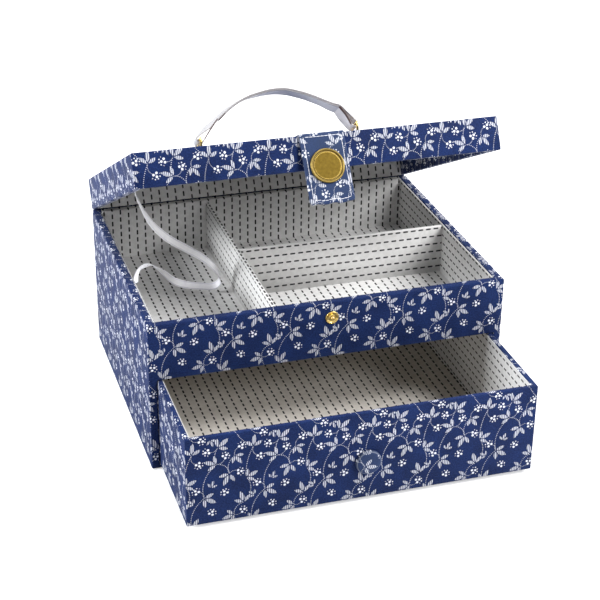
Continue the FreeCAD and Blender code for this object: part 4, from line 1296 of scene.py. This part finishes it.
# Button: a turned gold disc with a raised rim, bare in the middle
buttonShape = {
    "lift": 2.84,                     # its underside above the tab's own zero
    "profile": [
        (0, 1.3), (4.2, 1.3), (8.0, 1.3), (9.8, 1.3), (9.86, 1.0), (9.96, 0.75), (10.2, 0.58), (10.6, 0.55),
        (10.8, 0.75), (10.95, 1.25), (11.15, 1.62), (11.45, 1.84), (11.8, 1.88), (12.15, 1.7), (12.4, 1.35), (12.5, 1.0),
        (12.5, 0.45), (12.2, 0.1), (11.8, 0), (1.6, 0), (1.6, -2.0), (0, -2.0),
    ],
}


def turnedSpot(face, x, y, z):
    return (hypot(x, y), degrees(atan2(y, x)))


buttonMesh = spunShape(buttonShape["profile"], 96)
layUv(buttonMesh, "turned", turnedSpot)
buttonPlace = Matrix.Translation(Vector((0, -tabShape["buttonDrop"], buttonShape["lift"])) * mm)
bmesh.ops.transform(buttonMesh, matrix=tabTurn @ buttonPlace, verts=buttonMesh.verts)
buttonPiece = newPiece("button_disc", buttonMesh, 75)
finish(buttonPiece, turnedGold)
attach(buttonPiece, "closure_tab")
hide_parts("button_cap")

# Snap stud on the front rail, and the drawer's covered knob
studShape = {
    "profile": [
        (0, 3.4), (0.7, 3.3), (1.3, 2.95), (1.75, 2.3), (1.85, 1.7), (1.55, 1.1), (1.45, 0.7), (1.7, 0.42),
        (2.4, 0.35), (3.4, 0.38), (3.8, 0.55), (4.1, 0.88), (4.4, 1.07), (4.7, 1.06), (4.9, 0.9), (5.0, 0.65),
        (5.0, 0.02), (1.1, 0.02), (1.1, -5.2), (0, -5.2),
    ],
}
knobShape = {
    "profile": [
        (0, 4.0), (3.0, 3.96), (5.6, 3.8), (7.2, 3.55), (8.1, 3.32), (8.7, 3.05), (9.1, 2.6), (9.36, 1.95),
        (9.46, 1.2), (9.38, 0.6), (9.1, 0.2), (8.6, 0.02), (0, 0.02),
    ],
}
facingFront = Matrix.Rotation(pi / 2, 4, "X")


def frontPlace(node, y):
    low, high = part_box(node)
    return Matrix.Translation(((low.x + high.x) / 2, y, (low.z + high.z) / 2)) @ facingFront


studMesh = spunShape(studShape["profile"], 64)
bmesh.ops.transform(studMesh, matrix=frontPlace("snap_stud", caseLow.y), verts=studMesh.verts)
studPiece = newPiece("snap_stud_shell", studMesh, 75)
finish(studPiece, brass)
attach(studPiece, "case")
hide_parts("snap_stud")

knobMesh = spunShape(knobShape["profile"], 64)
layUv(knobMesh, "cloth", lambda face, x, y, z: (x * 0.95 + y * 0.35 + 17, y * 0.95 - x * 0.35 + 25))
bmesh.ops.transform(knobMesh, matrix=frontPlace("knob_cover", drawerLow.y), verts=knobMesh.verts)
knobPiece = newPiece("knob_cloth", knobMesh, 60)
finish(knobPiece, knobCloth)
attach(knobPiece, "drawer")
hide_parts("knob_cover")
print("tab, button, snap and knob made")

# Carrying strap: two plies of satin, the outer one looped round both ring bars and sewn back on itself
strapShape = {
    "width": 12 * mm,
    "ply": 1.0,
    "lean": 12,                       # backward from the lid's upright, in degrees
    "loopRadius": 2.6,
    "loopShift": 0.8,
    # the arch between the seams, in millimetres from the middle of the ring bars' line
    "arch": [
        (-46, 15.2), (-36.5, 22.4), (-24.0, 29.0), (-9.9, 32.6), (8.1, 33.6), (21.1, 30.2), (37.2, 22.8),
        (46.5, 17.3), (51.5, 15.0),
    ],
    # how far the strap turns about its own length, in degrees, at a distance from each seam: negative is
    # toward the ring, positive along the arch
    "leftTwist": [(-24, 0), (-17, 12), (-8, 26), (0, 17), (22, 13), (45, 5), (62, 0)],
    "rightTwist": [(-10, 0), (0, -9), (14, 0)],
    "innerLegTwist": [(0, 9), (7, 15), (18, 0)],
}
handleTurn = Matrix.Translation(ringPoint) @ Matrix.Rotation(-lidAngle - radians(strapShape["lean"]), 4, "X")


def upright(point):
    return Vector((point.x, 0, point.y))


def loopPoints(bar, join, side):
    # Round the bar from the inner leg to the outer one; side is 1 where the outer leg is to the left
    centre = bar + (join - bar).normalized() * strapShape["loopShift"]
    ahead = (join - centre).normalized()
    outer = Vector((-ahead.y, ahead.x)) * side
    radius = strapShape["loopRadius"]
    turns = [radians(angle) for angle in range(-100, -261, -32)]
    ring = [centre + (ahead * cos(turn) + outer * sin(turn)) * radius for turn in turns]
    seam = join - outer * strapShape["ply"] / 2
    return [seam, seam.lerp(ring[0], 0.5)] + ring


def shifted(points, distance):
    moved = []
    for index, point in enumerate(points):
        along = points[min(index + 1, len(points) - 1)] - points[max(index - 1, 0)]
        moved.append(point + Vector((-along.y, along.x)).normalized() * distance)
    return moved


def makeStrap():
    half = (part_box("handle_ring_right")[0].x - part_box("handle_ring_left")[0].x) / 2 / mm
    arch = [Vector(point) for point in strapShape["arch"]]
    ply = strapShape["ply"]
    left = loopPoints(Vector((-half, 0)), arch[0], 1)
    right = loopPoints(Vector((half, 0)), arch[-1], -1)
    outer = left + shifted(arch, ply / 2) + right[::-1]
    inner = shifted(arch, -ply / 2)
    steps = 6
    for name, points, narrower in (("outer", outer, 0.0), ("inner", inner, 1.2 * mm)):
        flat = linePoints("strap_line", [upright(point) * mm for point in points], passing=True, steps=steps)
        travel = [distance / mm for distance in travelled(flat)]
        first = len(left) * steps if name == "outer" else 0
        last = first + (len(arch) - 1) * steps
        widths = []
        for index, along in enumerate(travel):
            fromLeft = along - travel[first]
            fromRight = travel[last] - along
            turn = alongTable(strapShape["leftTwist"], fromLeft) + alongTable(strapShape["rightTwist"], fromRight)
            if name == "outer" and index > last:
                turn += alongTable(strapShape["innerLegTwist"], travel[-1] - along)
            widths.append(Matrix.Rotation(radians(turn), 3, heading(flat, index)) @ Vector((0, 1, 0)))
        mesh = sweptStrip(flat, widths, strapShape["width"] - narrower, "strip", rows=6)
        bmesh.ops.transform(mesh, matrix=handleTurn, verts=mesh.verts)
        piece = giveThickness(newPiece("handle_strap_" + name, mesh), (ply - 0.1) * mm, 0.0)
        softenEdges(piece, 0.2 * mm)
        length = travel[-1]
        print("strap", name, "length", round(length, 1), "mm")
        if name == "outer":
            brownEnds = ((False, 20, 12), (True, 17, 1.8))
            cloth = satin("strap_satin", "strap", 12, cut=length, legs=True, brownEnds=brownEnds)
        else:
            cloth = satin("strap_back_satin", "strapBack", 10.8, cut=length, brownEnds=((False, 8, 2.0),))
        finish(piece, cloth)
        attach(piece, "handle")
        if name == "outer":
            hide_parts("handle_strap")


makeStrap()
print("strap made")


# Floor, backdrop and light
studio = {
    "floor": (0.86, 0.86, 0.86, 1),
    "floorGlow": 0.5,                 # seen by the camera alone
    "world": 0.05,
    "worldColour": (1.0, 0.9, 0.8, 1),
    # each lamp: its place, its size in metres, its power and its colour
    "lamps": {
        "left": ((-1.3, 0.1, 0.7), 0.5, 24.5, (0.96, 0.98, 1.0)),
        "right": ((0.85, -0.95, 1.5), 0.5, 22, (1.0, 1.0, 1.0)),
        "side": ((1.3, -0.35, 1.1), 0.5, 14.5, (1.0, 1.0, 1.0)),
        "front": ((1.0, -1.3, 1.0), 0.4, 11, (1.0, 1.0, 1.0)),
        "back": ((0.0, 0.8, 1.6), 0.8, 17, (1.0, 1.0, 1.0)),
    },
}


def addStudio():
    mesh = bmesh.new()
    bmesh.ops.create_grid(mesh, x_segments=1, y_segments=1, size=6)
    floor = newPiece("studio_floor", mesh)
    material, tree, shader = startMaterial("studio_floor")
    shader.inputs["Base Color"].default_value = studio["floor"]
    shader.inputs["Roughness"].default_value = 0.9
    path = tree.nodes.new("ShaderNodeLightPath")
    glow = tree.nodes.new("ShaderNodeEmission")
    glow.inputs["Strength"].default_value = studio["floorGlow"]
    add = tree.nodes.new("ShaderNodeAddShader")
    mix = tree.nodes.new("ShaderNodeMixShader")
    tree.links.new(shader.outputs[0], add.inputs[0])
    tree.links.new(glow.outputs[0], add.inputs[1])
    tree.links.new(path.outputs["Is Camera Ray"], mix.inputs[0])
    tree.links.new(shader.outputs[0], mix.inputs[1])
    tree.links.new(add.outputs[0], mix.inputs[2])
    tree.links.new(mix.outputs[0], tree.nodes["Material Output"].inputs[0])
    floor.data.materials.append(material)
    world = bpy.data.worlds.new("studio")
    bpy.context.scene.world = world
    world.use_nodes = True
    tree = world.node_tree
    background = tree.nodes["Background"]
    path = tree.nodes.new("ShaderNodeLightPath")
    seen = maths(tree, "MAXIMUM", path.outputs["Is Camera Ray"], path.outputs["Is Glossy Ray"])
    seen = maths(tree, "MAXIMUM", seen, path.outputs["Is Transmission Ray"])
    tree.links.new(spread(tree, seen, 0, 1, studio["world"], 1.0), background.inputs["Strength"])
    colour = blendColours(tree, seen, studio["worldColour"], (1, 1, 1, 1))
    tree.links.new(colour, background.inputs["Color"])
    for name, (place, size, power, colour) in studio["lamps"].items():
        light = bpy.data.lights.new(name, "AREA")
        light.size = size
        light.energy = power
        light.color = colour
        lamp = bpy.data.objects.new(name, light)
        bpy.context.scene.collection.objects.link(lamp)
        lamp.location = place
        lamp.rotation_euler = (Vector((0, -0.02, 0.1)) - Vector(place)).to_track_quat("-Z", "Y").to_euler()


addStudio()
bpy.context.scene.view_settings.view_transform = "Standard"
print("studio lit")
